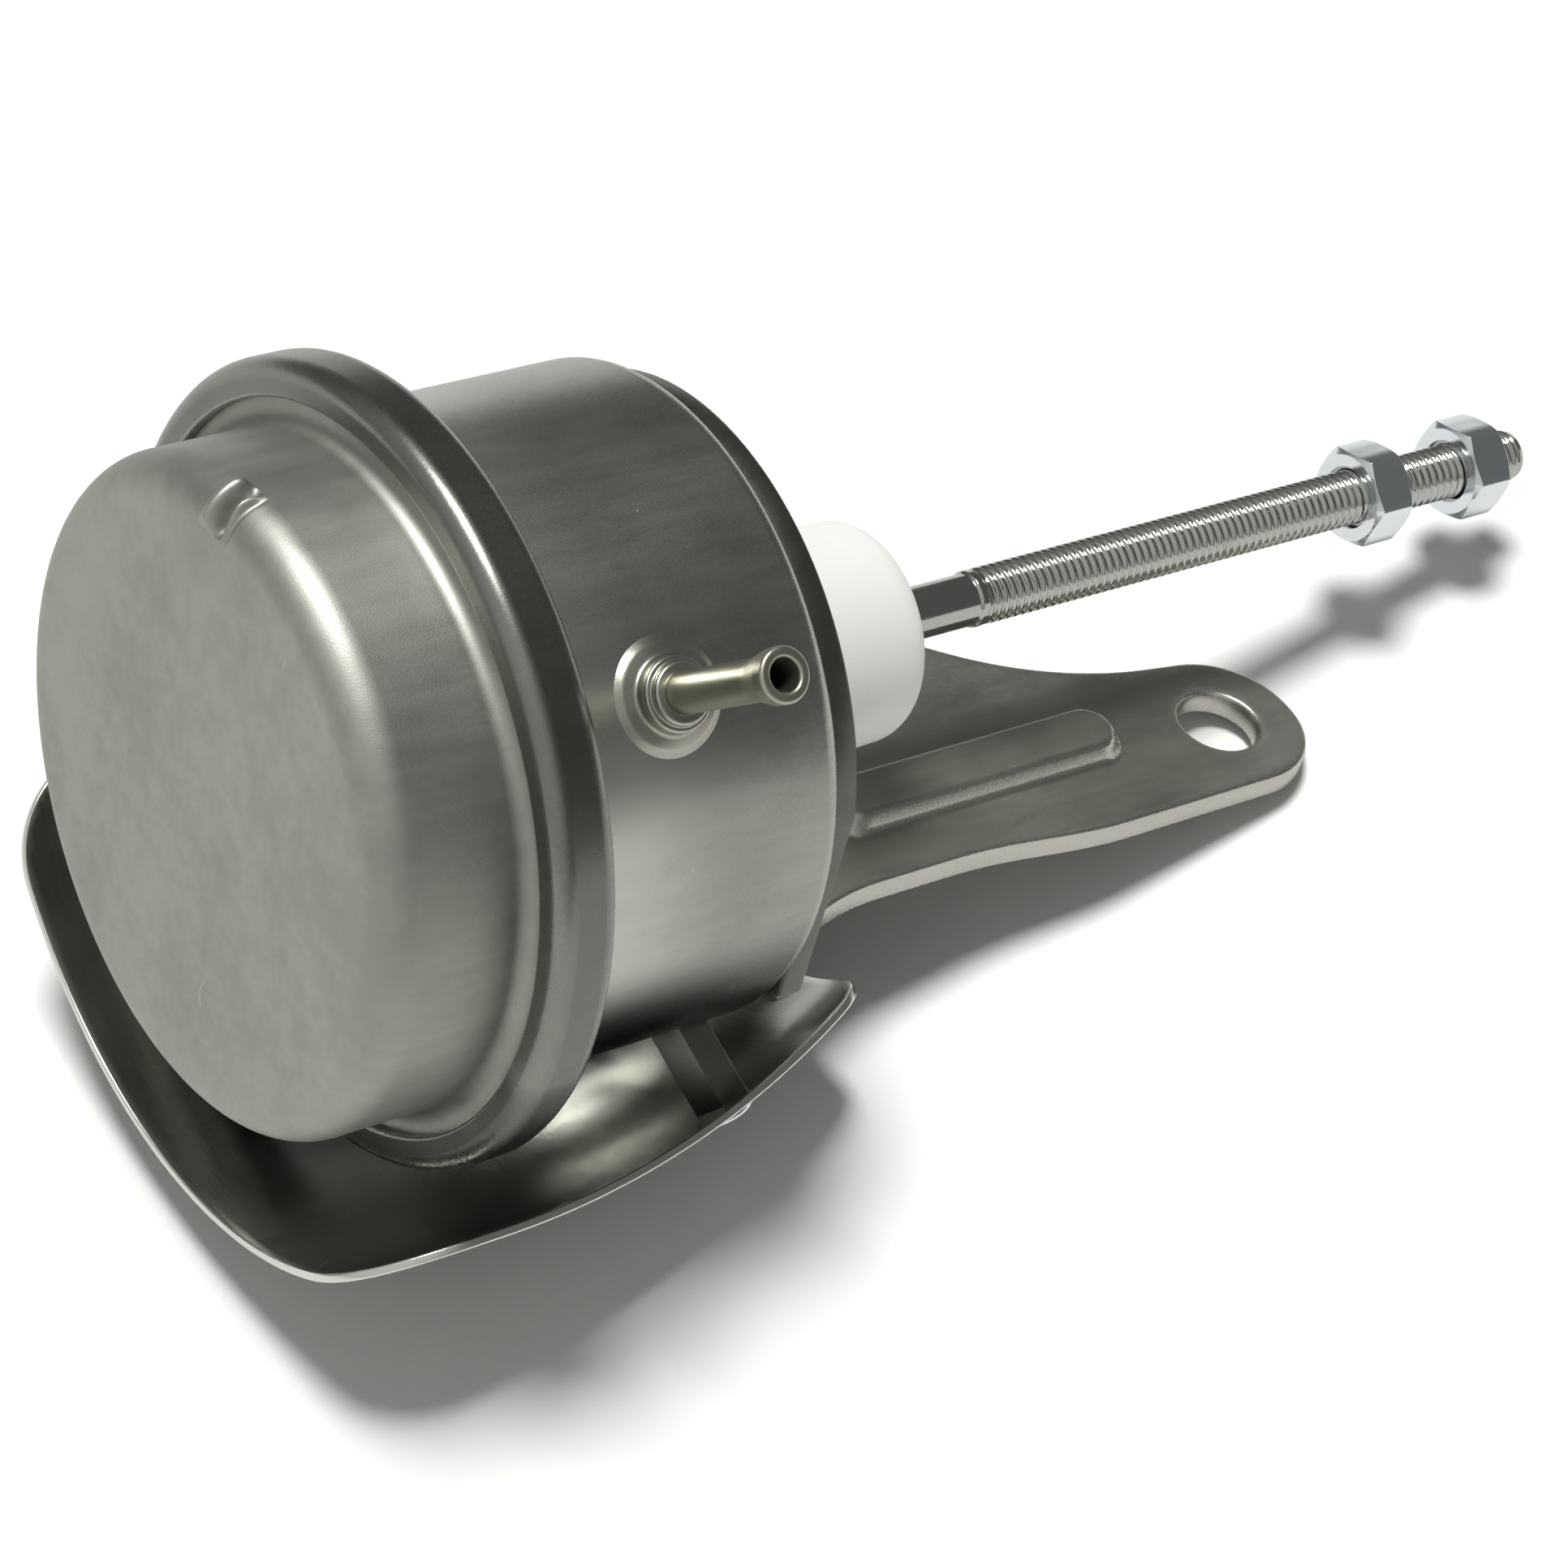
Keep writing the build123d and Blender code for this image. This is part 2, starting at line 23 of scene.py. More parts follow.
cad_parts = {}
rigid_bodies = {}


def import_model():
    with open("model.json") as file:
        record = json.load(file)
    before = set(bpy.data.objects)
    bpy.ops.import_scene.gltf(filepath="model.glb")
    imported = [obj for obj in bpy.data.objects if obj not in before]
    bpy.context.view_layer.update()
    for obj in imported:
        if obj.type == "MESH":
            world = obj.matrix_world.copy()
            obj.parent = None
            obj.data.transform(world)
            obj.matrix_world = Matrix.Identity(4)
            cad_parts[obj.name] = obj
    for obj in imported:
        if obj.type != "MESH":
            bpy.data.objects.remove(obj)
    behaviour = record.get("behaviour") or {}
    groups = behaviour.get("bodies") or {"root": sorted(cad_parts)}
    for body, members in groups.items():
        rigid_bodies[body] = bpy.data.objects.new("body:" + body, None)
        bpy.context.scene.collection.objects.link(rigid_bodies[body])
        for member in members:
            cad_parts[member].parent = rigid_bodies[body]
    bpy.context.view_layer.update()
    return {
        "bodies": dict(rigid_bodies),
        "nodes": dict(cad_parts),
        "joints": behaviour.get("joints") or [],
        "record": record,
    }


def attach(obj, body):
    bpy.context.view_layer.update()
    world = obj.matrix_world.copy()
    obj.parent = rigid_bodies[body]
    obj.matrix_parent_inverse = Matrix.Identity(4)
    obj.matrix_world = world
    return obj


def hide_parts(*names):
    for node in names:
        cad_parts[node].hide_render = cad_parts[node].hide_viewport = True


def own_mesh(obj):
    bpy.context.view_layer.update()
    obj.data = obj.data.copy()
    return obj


LOG = logging.getLogger("actuator")
MM = 0.001

Colour = tuple[float, float, float]
Pair = tuple[float, float]
Triple = tuple[float, float, float]
OutlinePoint = tuple[float, float, float]

SMOOTH = {"interpolation_type": "SMOOTHSTEP"}
WHITE = (1.0, 1.0, 1.0, 1.0)

# Runs shorter than this count as none.
TINY = 1e-9
# Half the angle of a corner above which it counts as straight.
STRAIGHT = math.radians(89.6)
# Largest share of a run that the rounding at one of its ends may take.
REACH_SHARE = 0.49
# Radius above which a rounded corner shows no wear.
SHARP_RADIUS = 3.0
# Wear where a rounding starts and ends, as a share of its middle's.
WEAR_ENDS = 0.35
# Distance between the points of a sheet's outline.
OUTLINE_STEP = 0.55
# Wear of a thread's crest.
CREST_WEAR = 0.8


def linked(name: str, data: Any) -> bpy.types.Object:
    """A new object of the scene that holds the data."""
    made = bpy.data.objects.new(name, data)
    bpy.context.scene.collection.objects.link(made)
    return made


def smoothed(mesh: bpy.types.Mesh) -> bpy.types.Mesh:
    """The mesh with all its faces shaded smooth."""
    mesh.polygons.foreach_set("use_smooth", [True] * len(mesh.polygons))
    return mesh


@contextmanager
def edited(mesh: bpy.types.Mesh) -> Iterator[bmesh.types.BMesh]:
    """Open a mesh for editing, and write it back at the end."""
    work = bmesh.new()
    work.from_mesh(mesh)
    yield work
    work.to_mesh(mesh)
    work.free()


class Bench:
    """A node tree under construction, with one method that makes every node."""

    def __init__(self, tree: bpy.types.NodeTree) -> None:
        """Keep the tree that the nodes are made in."""
        self.tree = tree

    def node(self, kind: str, settings: dict[str, Any], values: dict[int | str, Any]) -> bpy.types.Node:
        """Add one node.

        Args:
            kind: Blender's type name of the node.
            settings: Properties that are set first.
            values: Numbers, colours or links, by the socket's number or name.

        Returns:
            The new node.
        """
        made = self.tree.nodes.new(kind)
        for name, value in settings.items():
            setattr(made, name, value)
        for key, value in values.items():
            link = getattr(value, "socket", value)
            if isinstance(link, bpy.types.NodeSocket):
                self.tree.links.new(link, made.inputs[key])
            else:
                made.inputs[key].default_value = value
        return made

    def maths(self, operation: str, *values: Level | float) -> Level:
        """Add a Math node.

        Args:
            operation: The Math node's operation.
            values: Its values or links, in order.

        Returns:
            The node's result.
        """
        return Level(self, self.node("ShaderNodeMath", {"operation": operation}, dict(enumerate(values))).outputs[0])

    def joined(self, x: Level | float, y: Level | float, z: Level | float) -> Spot:
        """A vector made of three values."""
        return Spot(self, self.node("ShaderNodeCombineXYZ", {}, {0: x, 1: y, 2: z}).outputs[0])


@dataclass
class Level:
    """A value in a node tree. Its operators add Math nodes to that tree."""

    bench: Bench
    socket: bpy.types.NodeSocket

    def __add__(self, other: Level | float) -> Level:
        """Sum of two values."""
        return self.bench.maths("ADD", self, other)

    __radd__ = __add__

    def __sub__(self, other: Level | float) -> Level:
        """This value less another."""
        return self.bench.maths("SUBTRACT", self, other)

    def __mul__(self, other: Level | float) -> Level:
        """Product of two values."""
        return self.bench.maths("MULTIPLY", self, other)

    __rmul__ = __mul__

    def __truediv__(self, other: Level | float) -> Level:
        """This value divided by another."""
        return self.bench.maths("DIVIDE", self, other)

    def __abs__(self) -> Level:
        """The value without its sign."""
        return self.bench.maths("ABSOLUTE", self)

    def largest(self, other: Level | float) -> Level:
        """The larger of two values."""
        return self.bench.maths("MAXIMUM", self, other)

    def smallest(self, other: Level | float) -> Level:
        """The smaller of two values."""
        return self.bench.maths("MINIMUM", self, other)

    def rise(self, low: float, high: float) -> Level:
        """Smooth step of the value.

        Args:
            low: Where the result is 0.
            high: Where the result is 1. It may be the lower number, for a fall.

        Returns:
            A value from 0 to 1.
        """
        low_out, high_out = (0.0, 1.0) if low < high else (1.0, 0.0)
        values = {0: self, 1: min(low, high), 2: max(low, high), 3: low_out, 4: high_out}
        return Level(self.bench, self.bench.node("ShaderNodeMapRange", SMOOTH, values).outputs[0])


@dataclass
class Spot:
    """A vector in a node tree, such as a place on a piece in millimetres."""

    bench: Bench
    socket: bpy.types.NodeSocket

    def parts(self) -> tuple[Level, ...]:
        """The three components of the vector."""
        node = self.bench.node("ShaderNodeSeparateXYZ", {}, {0: self})
        return tuple(Level(self.bench, out) for out in node.outputs)

    def stretched(self, x: float, y: float, z: float) -> Spot:
        """The vector with each component multiplied by a factor."""
        node = self.bench.node("ShaderNodeVectorMath", {"operation": "MULTIPLY"}, {0: self, 1: (x, y, z)})
        return Spot(self.bench, node.outputs[0])

    def turned(self, degrees: float) -> Spot:
        """The vector turned about its third axis."""
        values = {0: self, 2: (0.0, 0.0, math.radians(degrees))}
        return Spot(self.bench, self.bench.node("ShaderNodeMapping", {}, values).outputs[0])


class Paint(Bench):
    """A material under construction."""

    def __init__(self, name: str) -> None:
        """Start an empty node material.

        Args:
            name: Name of the material.
        """
        self.material = bpy.data.materials.new(name)
        self.material.use_nodes = True
        super().__init__(self.material.node_tree)
        self.tree.nodes.clear()

    def spot(self) -> Spot:
        """The place on the piece in millimetres."""
        coordinates = self.node("ShaderNodeTexCoord", {}, {})
        return Spot(self, coordinates.outputs["Object"]).stretched(1000.0, 1000.0, 1000.0)

    def wrapped(self, spot: Spot, radius: float) -> Spot:
        """The place unrolled from the rod's axis: along it, round it, and out from it.

        Args:
            spot: A place in millimetres.
            radius: The radius at which the way round is a true length.

        Returns:
            The unrolled place. Its seam is straight below the axis.
        """
        x, y, z = spot.parts()
        out = self.maths("SQRT", y * y + z * z)
        return self.joined(x, self.maths("ARCTAN2", y, z) * radius, out)

    def edge(self) -> Level:
        """How near a worn edge the surface is, as the mesh says; values below 0 are painted shade and the rib flank's
        high values a painted highlight.
        """
        node = self.node("ShaderNodeAttribute", {"attribute_name": "edge"}, {})
        return Level(self, node.outputs["Fac"])

    def noise(self, spot: Spot, size: float, detail: float = 2.0, rough: float = 0.5) -> Level:
        """Cloudy noise.

        Args:
            spot: Where it is read.
            size: Size of a cloud, in the units of the place.
            detail: Number of finer layers.
            rough: Weight of the finer layers.

        Returns:
            A value about 0.5.
        """
        values = {"Vector": spot, "Scale": 1.0 / size, "Detail": detail, "Roughness": rough}
        return Level(self, self.node("ShaderNodeTexNoise", {}, values).outputs[0])

    def specks(self, spot: Spot, size: float, radius: float, share: float) -> Level:
        """Scattered round specks.

        Args:
            spot: Where they are read.
            size: Distance between possible specks.
            radius: Radius of a speck as a share of that distance.
            share: Share of the places that hold one.

        Returns:
            1 on a speck and 0 elsewhere.
        """
        node = self.node("ShaderNodeTexVoronoi", {}, {"Vector": spot, "Scale": 1.0 / size})
        chance = self.node("ShaderNodeSeparateColor", {}, {0: node.outputs["Color"]})
        picked = Level(self, chance.outputs[0]).rise(1.0 - share, 1.02 - share)
        return Level(self, node.outputs["Distance"]).rise(radius, radius * 0.5) * picked

    def scratches(self, spot: Spot, length: float, gap: float, turn: float, width: float, amount: float) -> Level:
        """Fine broken scratches in one direction.

        Args:
            spot: Where they are read, with the scratches along its first axis.
            length: Length of a scratch.
            gap: Typical distance between scratches.
            turn: Turn of the direction in degrees.
            width: Width of the line as a share of the noise.
            amount: Share of the surface that is scratched, from 0 to 1.

        Returns:
            1 on a scratch and 0 elsewhere.
        """
        run = spot.turned(turn).stretched(gap / length, 1.0, gap / length * 0.7)
        line = abs(self.noise(run, gap, 1.0) - 0.5).rise(width, 0.0)
        patch = self.noise(spot.turned(turn + 31.0), length * 0.8, 2.0)
        return line * patch.rise(0.70 - 0.3 * amount, 0.76 - 0.3 * amount)

    def mixed(self, share: Level | float, first: Any, second: Any) -> bpy.types.NodeSocket:
        """Colour between two colours.

        Args:
            share: 0 for the first and 1 for the second.
            first: A colour or a colour socket.
            second: A colour or a colour socket.

        Returns:
            The colour's socket.
        """
        values = {0: share, 6: self.full(first), 7: self.full(second)}
        return self.node("ShaderNodeMix", {"data_type": "RGBA"}, values).outputs[2]

    @staticmethod
    def full(colour: Any) -> Any:
        """A plain colour with its fourth number, or the socket as it is."""
        return (*colour, 1.0) if isinstance(colour, tuple) else colour

    def bump(self, height: Level, depth: float, below: bpy.types.NodeSocket | None = None) -> bpy.types.NodeSocket:
        """Relief in the surface.

        Args:
            height: Height from 0 to 1.
            depth: Height of 1 in millimetres.
            below: A normal that this one is laid on.

        Returns:
            The normal's socket.
        """
        values: dict[int | str, Any] = {"Height": height, "Distance": depth * MM, "Strength": 1.0}
        if below is not None:
            values["Normal"] = below
        return self.node("ShaderNodeBump", {}, values).outputs[0]

    def finished(self, colour: Any, roughness: Level, metallic: float, normal: Any) -> bpy.types.Material:
        """Close the material with its shader.

        Args:
            colour: Base colour or its socket.
            roughness: Roughness.
            metallic: 1 for bare metal and 0 for the rest.
            normal: Normal's socket.

        Returns:
            The finished material.
        """
        values = {"Base Color": self.full(colour), "Roughness": roughness, "Metallic": metallic, "Normal": normal}
        shader = self.node("ShaderNodeBsdfPrincipled", {}, values)
        self.node("ShaderNodeOutputMaterial", {}, {"Surface": shader.outputs[0]})
        return self.material


def shaded(colour: Colour, factor: float, lift: float = 0.0) -> Colour:
    """The colour times a factor and lifted, up to 1."""
    return tuple(min(1.0, part * factor + lift) for part in colour)


@dataclass(frozen=True)
class Finish:
    """What all finishes have: the names, the colour and the roughness."""

    name: str
    slot: str
    colour: Colour
    roughness: float

    def paint(self) -> bpy.types.Material:
        """Build the material."""
        raise NotImplementedError


@dataclass(frozen=True)
class SatinSteel(Finish):
    """Pressed satin steel: cloudy tone, fine grain, fine scratches, worn edges and soot.

    Wear below 0 in the mesh darkens the steel in place of brightening it. A wrap of 0
    reads the finish straight in space and not unrolled round the rod's axis.
    """

    cloud: float = 0.10
    grain: float = 0.012
    grain_size: float = 0.16
    scratch: float = 0.4
    speck: float = 0.3
    wear: float = 0.5
    wrap: float = 33.0
    # Strength of the shade painted on the can's underside and of the darker rolled ring.
    underside_shade_and_dark_ring: float = 0.0
    # Strength of a lighter sheen painted towards the can's front.
    front_sheen: float = 0.0
    front_sheen_reach: Pair = (-12.0, -27.0)
    # Colour of the painted shade on the underside and the plate's edges, and of the darker ring.
    shade_and_ring_colour: Colour = (0.050, 0.055, 0.046)
    # Heights where the painted underside shade grows; radii and share of the darker rolled ring.
    underside_shade_heights: Pair = (0.5, -9.5)
    dark_ring_radii: Pair = (33.8, 35.6)
    dark_ring_share: float = 0.72

    def paint(self) -> bpy.types.Material:
        """Build the material."""
        paint = Paint(self.name)
        spot = paint.spot()
        surface = paint.wrapped(spot, self.wrap) if self.wrap else spot
        clouds = paint.noise(spot, 17.0, 3.0, 0.55)
        fine = paint.noise(surface, self.grain_size, 2.0, 0.6)
        smear = paint.noise(surface.stretched(0.16, 1.0, 1.0), 2.2, 3.0, 0.6)
        hurt = paint.scratches(surface, 9.0, 1.6, 72.0, 0.010, self.scratch)
        dots = paint.specks(surface, 3.4, 0.045, 0.16 * self.speck)
        worn = paint.edge()
        # Edge values hold wear, and on the rib's near flank a painted highlight.
        edge = (worn * (0.55 + 0.9 * fine)).smallest(1.0).largest(0.0) * self.wear
        # Edge values below 0 are painted shade.
        dark = (worn * -1.0).largest(0.0)
        tone = (clouds * 0.65 + smear * 0.35).rise(0.32, 0.68)
        colour = paint.mixed(tone, shaded(self.colour, 1.0 - 1.6 * self.cloud), shaded(self.colour, 1.0 + self.cloud))
        # Shade painted on the underside, and the rolled ring made darker.
        if self.underside_shade_and_dark_ring:
            dark = dark.largest(self.shade_and_dark_ring(paint, spot))
        # A lighter sheen painted towards the can's front.
        if self.front_sheen:
            front_sheen_share = spot.parts()[0].rise(*self.front_sheen_reach) * self.front_sheen
            colour = paint.mixed(front_sheen_share * (0.7 + 0.6 * clouds), colour, shaded(self.colour, 1.9))
        bright = shaded(self.colour, 1.45, 0.06)
        colour = paint.mixed((dark * (0.75 + 0.5 * clouds)).smallest(1.0), colour, self.shade_and_ring_colour)
        colour = paint.mixed((hurt * 0.55).largest(edge), colour, bright)
        colour = paint.mixed(dots * 0.8, colour, bright)
        roughness = (self.roughness + 0.10 * (clouds - 0.5) + 0.16 * (fine - 0.5)
                     - 0.12 * edge - 0.10 * hurt + 0.06 * (smear - 0.5))
        normal = paint.bump(hurt.largest(dots), -0.012, paint.bump(fine, self.grain))
        return paint.finished(colour, roughness, 1.0, normal)

    def shade_and_dark_ring(self, paint: Paint, spot: Spot) -> Level:
        """How dark the rolled ring is made, and the shade painted on the underside.

        Args:
            paint: The material in the making.
            spot: A place in millimetres.

        Returns:
            A share that reaches full strength below the can, where the shade is painted.
        """
        ring = paint.wrapped(spot, self.wrap).parts()[2].rise(*self.dark_ring_radii) * self.dark_ring_share
        return spot.parts()[2].rise(*self.underside_shade_heights).largest(ring) * self.underside_shade_and_dark_ring


@dataclass(frozen=True)
class RolledSheet(Finish):
    """Thin bright rolled sheet that was bent cold, with soft waves and rolling lines."""

    wave: float = 0.10
    wrap: float = 45.8

    def paint(self) -> bpy.types.Material:
        """Build the material."""
        paint = Paint(self.name)
        spot = paint.spot()
        surface = paint.wrapped(spot, self.wrap)
        waves = paint.noise(surface.stretched(0.6, 1.0, 0.2), 7.5, 1.5, 0.4)
        clouds = paint.noise(spot, 12.0, 3.0, 0.6)
        rolled = paint.noise(surface.stretched(1.0, 0.05, 1.0), 0.35, 2.0, 0.6)
        hurt = paint.scratches(surface, 10.0, 1.9, 12.0, 0.012, 0.15)
        tone = (clouds * 0.7 + rolled * 0.3).rise(0.3, 0.7)
        colour = paint.mixed(tone, shaded(self.colour, 0.78), self.colour)
        colour = paint.mixed((hurt * 0.5).largest(paint.edge() * 0.8), colour, shaded(self.colour, 1.5, 0.12))
        roughness = self.roughness + 0.12 * (clouds - 0.5) + 0.10 * (rolled - 0.5) + 0.06 * hurt
        return paint.finished(colour, roughness, 1.0, paint.bump(rolled, 0.004, paint.bump(waves, self.wave)))


@dataclass(frozen=True)
class BrightSteel(Finish):
    """Ground or plated bright metal with fine turning marks."""

    marks: float = 0.003
    tint: Colour = (0.30, 0.29, 0.27)
    dirt: float = 0.25

    def paint(self) -> bpy.types.Material:
        """Build the material."""
        paint = Paint(self.name)
        spot = paint.spot()
        turning = paint.noise(paint.wrapped(spot, 3.0).stretched(1.0, 0.06, 1.0), 0.12, 2.0, 0.6)
        clouds = paint.noise(spot, 4.0, 3.0, 0.6)
        film = paint.noise(spot, 0.9, 3.0, 0.6)
        soiled = (clouds.rise(0.45, 0.75) * film.rise(0.35, 0.7)) * self.dirt
        colour = paint.mixed(soiled, self.colour, self.tint)
        colour = paint.mixed(paint.edge() * 0.6, colour, shaded(self.colour, 1.18, 0.03))
        roughness = self.roughness + 0.10 * (clouds - 0.5) + 0.12 * (turning - 0.5) + 0.3 * soiled
        return paint.finished(colour, roughness, 1.0, paint.bump(turning, self.marks))


@dataclass(frozen=True)
class Moulded(Finish):
    """Moulded silicone, rubber or plastic with a faint skin texture."""

    skin: float = 0.02
    dust: Colour = (0.60, 0.58, 0.52)
    amount: float = 0.25

    def paint(self) -> bpy.types.Material:
        """Build the material."""
        paint = Paint(self.name)
        spot = paint.spot()
        skin = paint.noise(spot, 0.35, 3.0, 0.6)
        clouds = paint.noise(spot, 6.0, 3.0, 0.6)
        flow = paint.noise(paint.wrapped(spot, 12.0).stretched(1.0, 0.12, 1.0), 1.4, 2.0, 0.5)
        soiled = clouds.rise(0.5, 0.8) * skin.rise(0.35, 0.7) * self.amount
        roughness = self.roughness + 0.10 * (clouds - 0.5) + 0.08 * (flow - 0.5)
        normal = paint.bump(flow, self.skin * 0.8, paint.bump(skin, self.skin))
        return paint.finished(paint.mixed(soiled, self.colour, self.dust), roughness, 0.0, normal)


class Look(Enum):
    """The finishes of the actuator's pieces."""

    # The can paints shade on its underside, darkens its ring and paints a lighter sheen on its front.
    CAN = SatinSteel("can satin steel", "can_steel", (0.37, 0.378, 0.345), 0.30, grain=0.010, scratch=0.0,
                     speck=0.5, wear=0.45, underside_shade_and_dark_ring=1.0, front_sheen=0.45)
    CAP = SatinSteel("cap matte steel", "cap_steel", (0.385, 0.385, 0.35), 0.52, cloud=0.09, grain=0.016,
                     scratch=0.0, speck=0.2, wear=0.30, wrap=0.0)
    BRACKET = SatinSteel("bracket grained steel", "bracket_steel", (0.40, 0.39, 0.35), 0.36, cloud=0.12,
                         grain=0.013, grain_size=0.30, scratch=0.0, speck=0.4, wear=0.70, wrap=0.0)
    SHIELD = RolledSheet("shield rolled sheet", "shield_steel", (0.50, 0.50, 0.465), 0.20)
    ROD = BrightSteel("rod ground steel", "rod_steel", (0.47, 0.47, 0.445), 0.13)
    ZINC = BrightSteel("bright zinc", "zinc_plate", (0.80, 0.835, 0.88), 0.14, dirt=0.12)
    NIPPLE = BrightSteel("nipple steel", "nipple_steel", (0.40, 0.385, 0.315), 0.34, dirt=0.3)
    BRAZE = SatinSteel("braze", "braze", (0.39, 0.385, 0.335), 0.32, grain=0.010, scratch=0.2,
                       speck=0.2, wear=0.3)
    SILICONE = Moulded("boot silicone", "boot_silicone", (0.80, 0.80, 0.77), 0.55)
    SPRING = BrightSteel("spring wire", "spring_steel", (0.30, 0.30, 0.30), 0.35)
    INNER = SatinSteel("inner pressed steel", "inner_steel", (0.42, 0.42, 0.40), 0.36)
    POST = SatinSteel("dull post steel", "inner_steel", (0.20, 0.205, 0.185), 0.30, scratch=0.3, speck=0.3, wear=0.8)
    BRONZE = BrightSteel("sintered bronze", "bush_bronze", (0.48, 0.32, 0.16), 0.42, marks=0.008)
    RUBBER = Moulded("black rubber", "black_rubber", (0.022, 0.022, 0.022), 0.62, dust=(0.10, 0.10, 0.10))


@dataclass
class Form:
    """Points, faces and edge values of one shape, in millimetres: wear, and on the bracket painted shade and a painted
    highlight.
    """

    points: np.ndarray
    faces: list[tuple[int, ...]]
    wear: np.ndarray

    def moved(self, place: Matrix) -> "Form":
        """The form carried by a matrix, in millimetres."""
        turn = np.array(place.to_3x3())
        shift = np.array(place.translation)
        return Form(self.points @ turn.T + shift, self.faces, self.wear)

    def joined(self, other: "Form") -> "Form":
        """This form and another as one."""
        shift = len(self.points)
        faces = self.faces + [tuple(i + shift for i in face) for face in other.faces]
        return Form(np.vstack((self.points, other.points)), faces, np.concatenate((self.wear, other.wear)))

    def mesh(self, name: str) -> bpy.types.Mesh:
        """Write the form as a smooth mesh in metres with outward normals.

        Args:
            name: Name of the mesh.

        Returns:
            The mesh, with its wear and painted shade and highlight in the attribute "edge".
        """
        mesh = bpy.data.meshes.new(name)
        mesh.from_pydata([tuple(p) for p in self.points * MM], [], self.faces)
        values = mesh.attributes.new("edge", "FLOAT", "POINT")
        values.data.foreach_set("value", self.wear.astype(np.float32))
        with edited(mesh) as work:
            bmesh.ops.remove_doubles(work, verts=work.verts, dist=1e-7)
            bmesh.ops.dissolve_degenerate(work, edges=work.edges, dist=1e-7)
            bmesh.ops.recalc_face_normals(work, faces=work.faces)
        smoothed(mesh).update()
        return mesh


def sheet_line(path: Sequence[Pair], bends: Sequence[float], thickness: float,
               edge: float = 0.25) -> tuple[list[Pair], list[float]]:
    """Closed section of a bent sheet that lies to the right of an open path.

    Args:
        path: Corners of the sheet's one face.
        bends: Radius at each inner corner of the path.
        thickness: Thickness of the sheet.
        edge: Rounding of the sheet's cut edges.

    Returns:
        The corners and the radius at each.
    """
    runs = []
    for (x1, y1), (x2, y2) in zip(path, path[1:]):
        run = math.hypot(x2 - x1, y2 - y1)
        runs.append(((x2 - x1) / run, (y2 - y1) / run))
    inner = []
    for place, (x, y) in enumerate(path):
        before, after = runs[max(place - 1, 0)], runs[min(place, len(runs) - 1)]
        share = thickness / (1 + before[0] * after[0] + before[1] * after[1])
        inner.append((x + share * (before[1] + after[1]), y - share * (before[0] + after[0])))
    inner_bends = []
    for bend, before, after in zip(bends, runs, runs[1:]):
        left_turn = before[0] * after[1] - before[1] * after[0] > 0
        inner_bends.append(bend + thickness if left_turn else max(bend - thickness, 0.1))
    return [*path, *reversed(inner)], [edge, *bends, edge, edge, *reversed(inner_bends), edge]


def rounded(corners: Sequence[Pair], radii: Sequence[float], steps: int = 6, pitch: float = 0.0,
            hold: float = 0.12) -> list[OutlinePoint]:
    """Closed outline with rounded corners.

    Args:
        corners: The sharp corners, in order.
        radii: The radius at each.
        steps: Number of runs in each rounding.
        pitch: Longest straight run between points, or 0 to leave the runs whole.
        hold: Distance of the points that keep the flats flat beside a rounding.

    Returns:
        Points with how worn each is, from 0 to 1.
    """
    count = len(corners)
    area = sum(a[0] * b[1] - b[0] * a[1] for a, b in zip(corners, (*corners[1:], corners[0])))
    line: list[OutlinePoint] = []
    for place in range(count):
        before, here, after = (Vector(corners[(place + shift) % count]) for shift in (-1, 0, 1))
        back, ahead = before - here, after - here
        radius = radii[place]
        half = back.angle(ahead) / 2 if min(back.length, ahead.length) >= TINY else math.pi
        if radius <= 0 or half > STRAIGHT:
            line.append((here.x, here.y, 0.0))
            continue
        reach = min(radius / math.tan(half), back.length * REACH_SHARE, ahead.length * REACH_SHARE)
        radius = reach * math.tan(half)
        back.normalize()
        ahead.normalize()
        centre = here + (back + ahead).normalized() * (radius / math.sin(half))
        convex = (back.x * ahead.y - back.y * ahead.x) * area < 0
        worn = max(0.0, 1.0 - radius / SHARP_RADIUS) if convex else 0.0
        first = here + back * (reach + min(hold, reach * 0.2))
        last = here + ahead * (reach + min(hold, reach * 0.2))
        line.append((first.x, first.y, 0.0))
        start = here + back * reach - centre
        end = here + ahead * reach - centre
        turn = math.copysign(math.pi - 2 * half, start.x * end.y - start.y * end.x)
        for step in range(steps + 1):
            spoke = start.copy()
            spoke.rotate(Matrix.Rotation(turn * step / steps, 2))
            share = math.sin(math.pi * step / steps)
            line.append((centre.x + spoke.x, centre.y + spoke.y, worn * (WEAR_ENDS + (1.0 - WEAR_ENDS) * share)))
        line.append((last.x, last.y, 0.0))
    return divided(line, pitch) if pitch else line


def divided(line: Sequence[OutlinePoint], pitch: float) -> list[OutlinePoint]:
    """The closed outline with its long runs divided so that none is longer than the pitch."""
    out: list[OutlinePoint] = []
    for here, after in zip(line, (*line[1:], line[0])):
        parts = max(1, math.ceil(math.hypot(after[0] - here[0], after[1] - here[1]) / pitch))
        for part in range(parts):
            share = part / parts
            out.append(tuple(a + (b - a) * share for a, b in zip(here, after)))
    return out


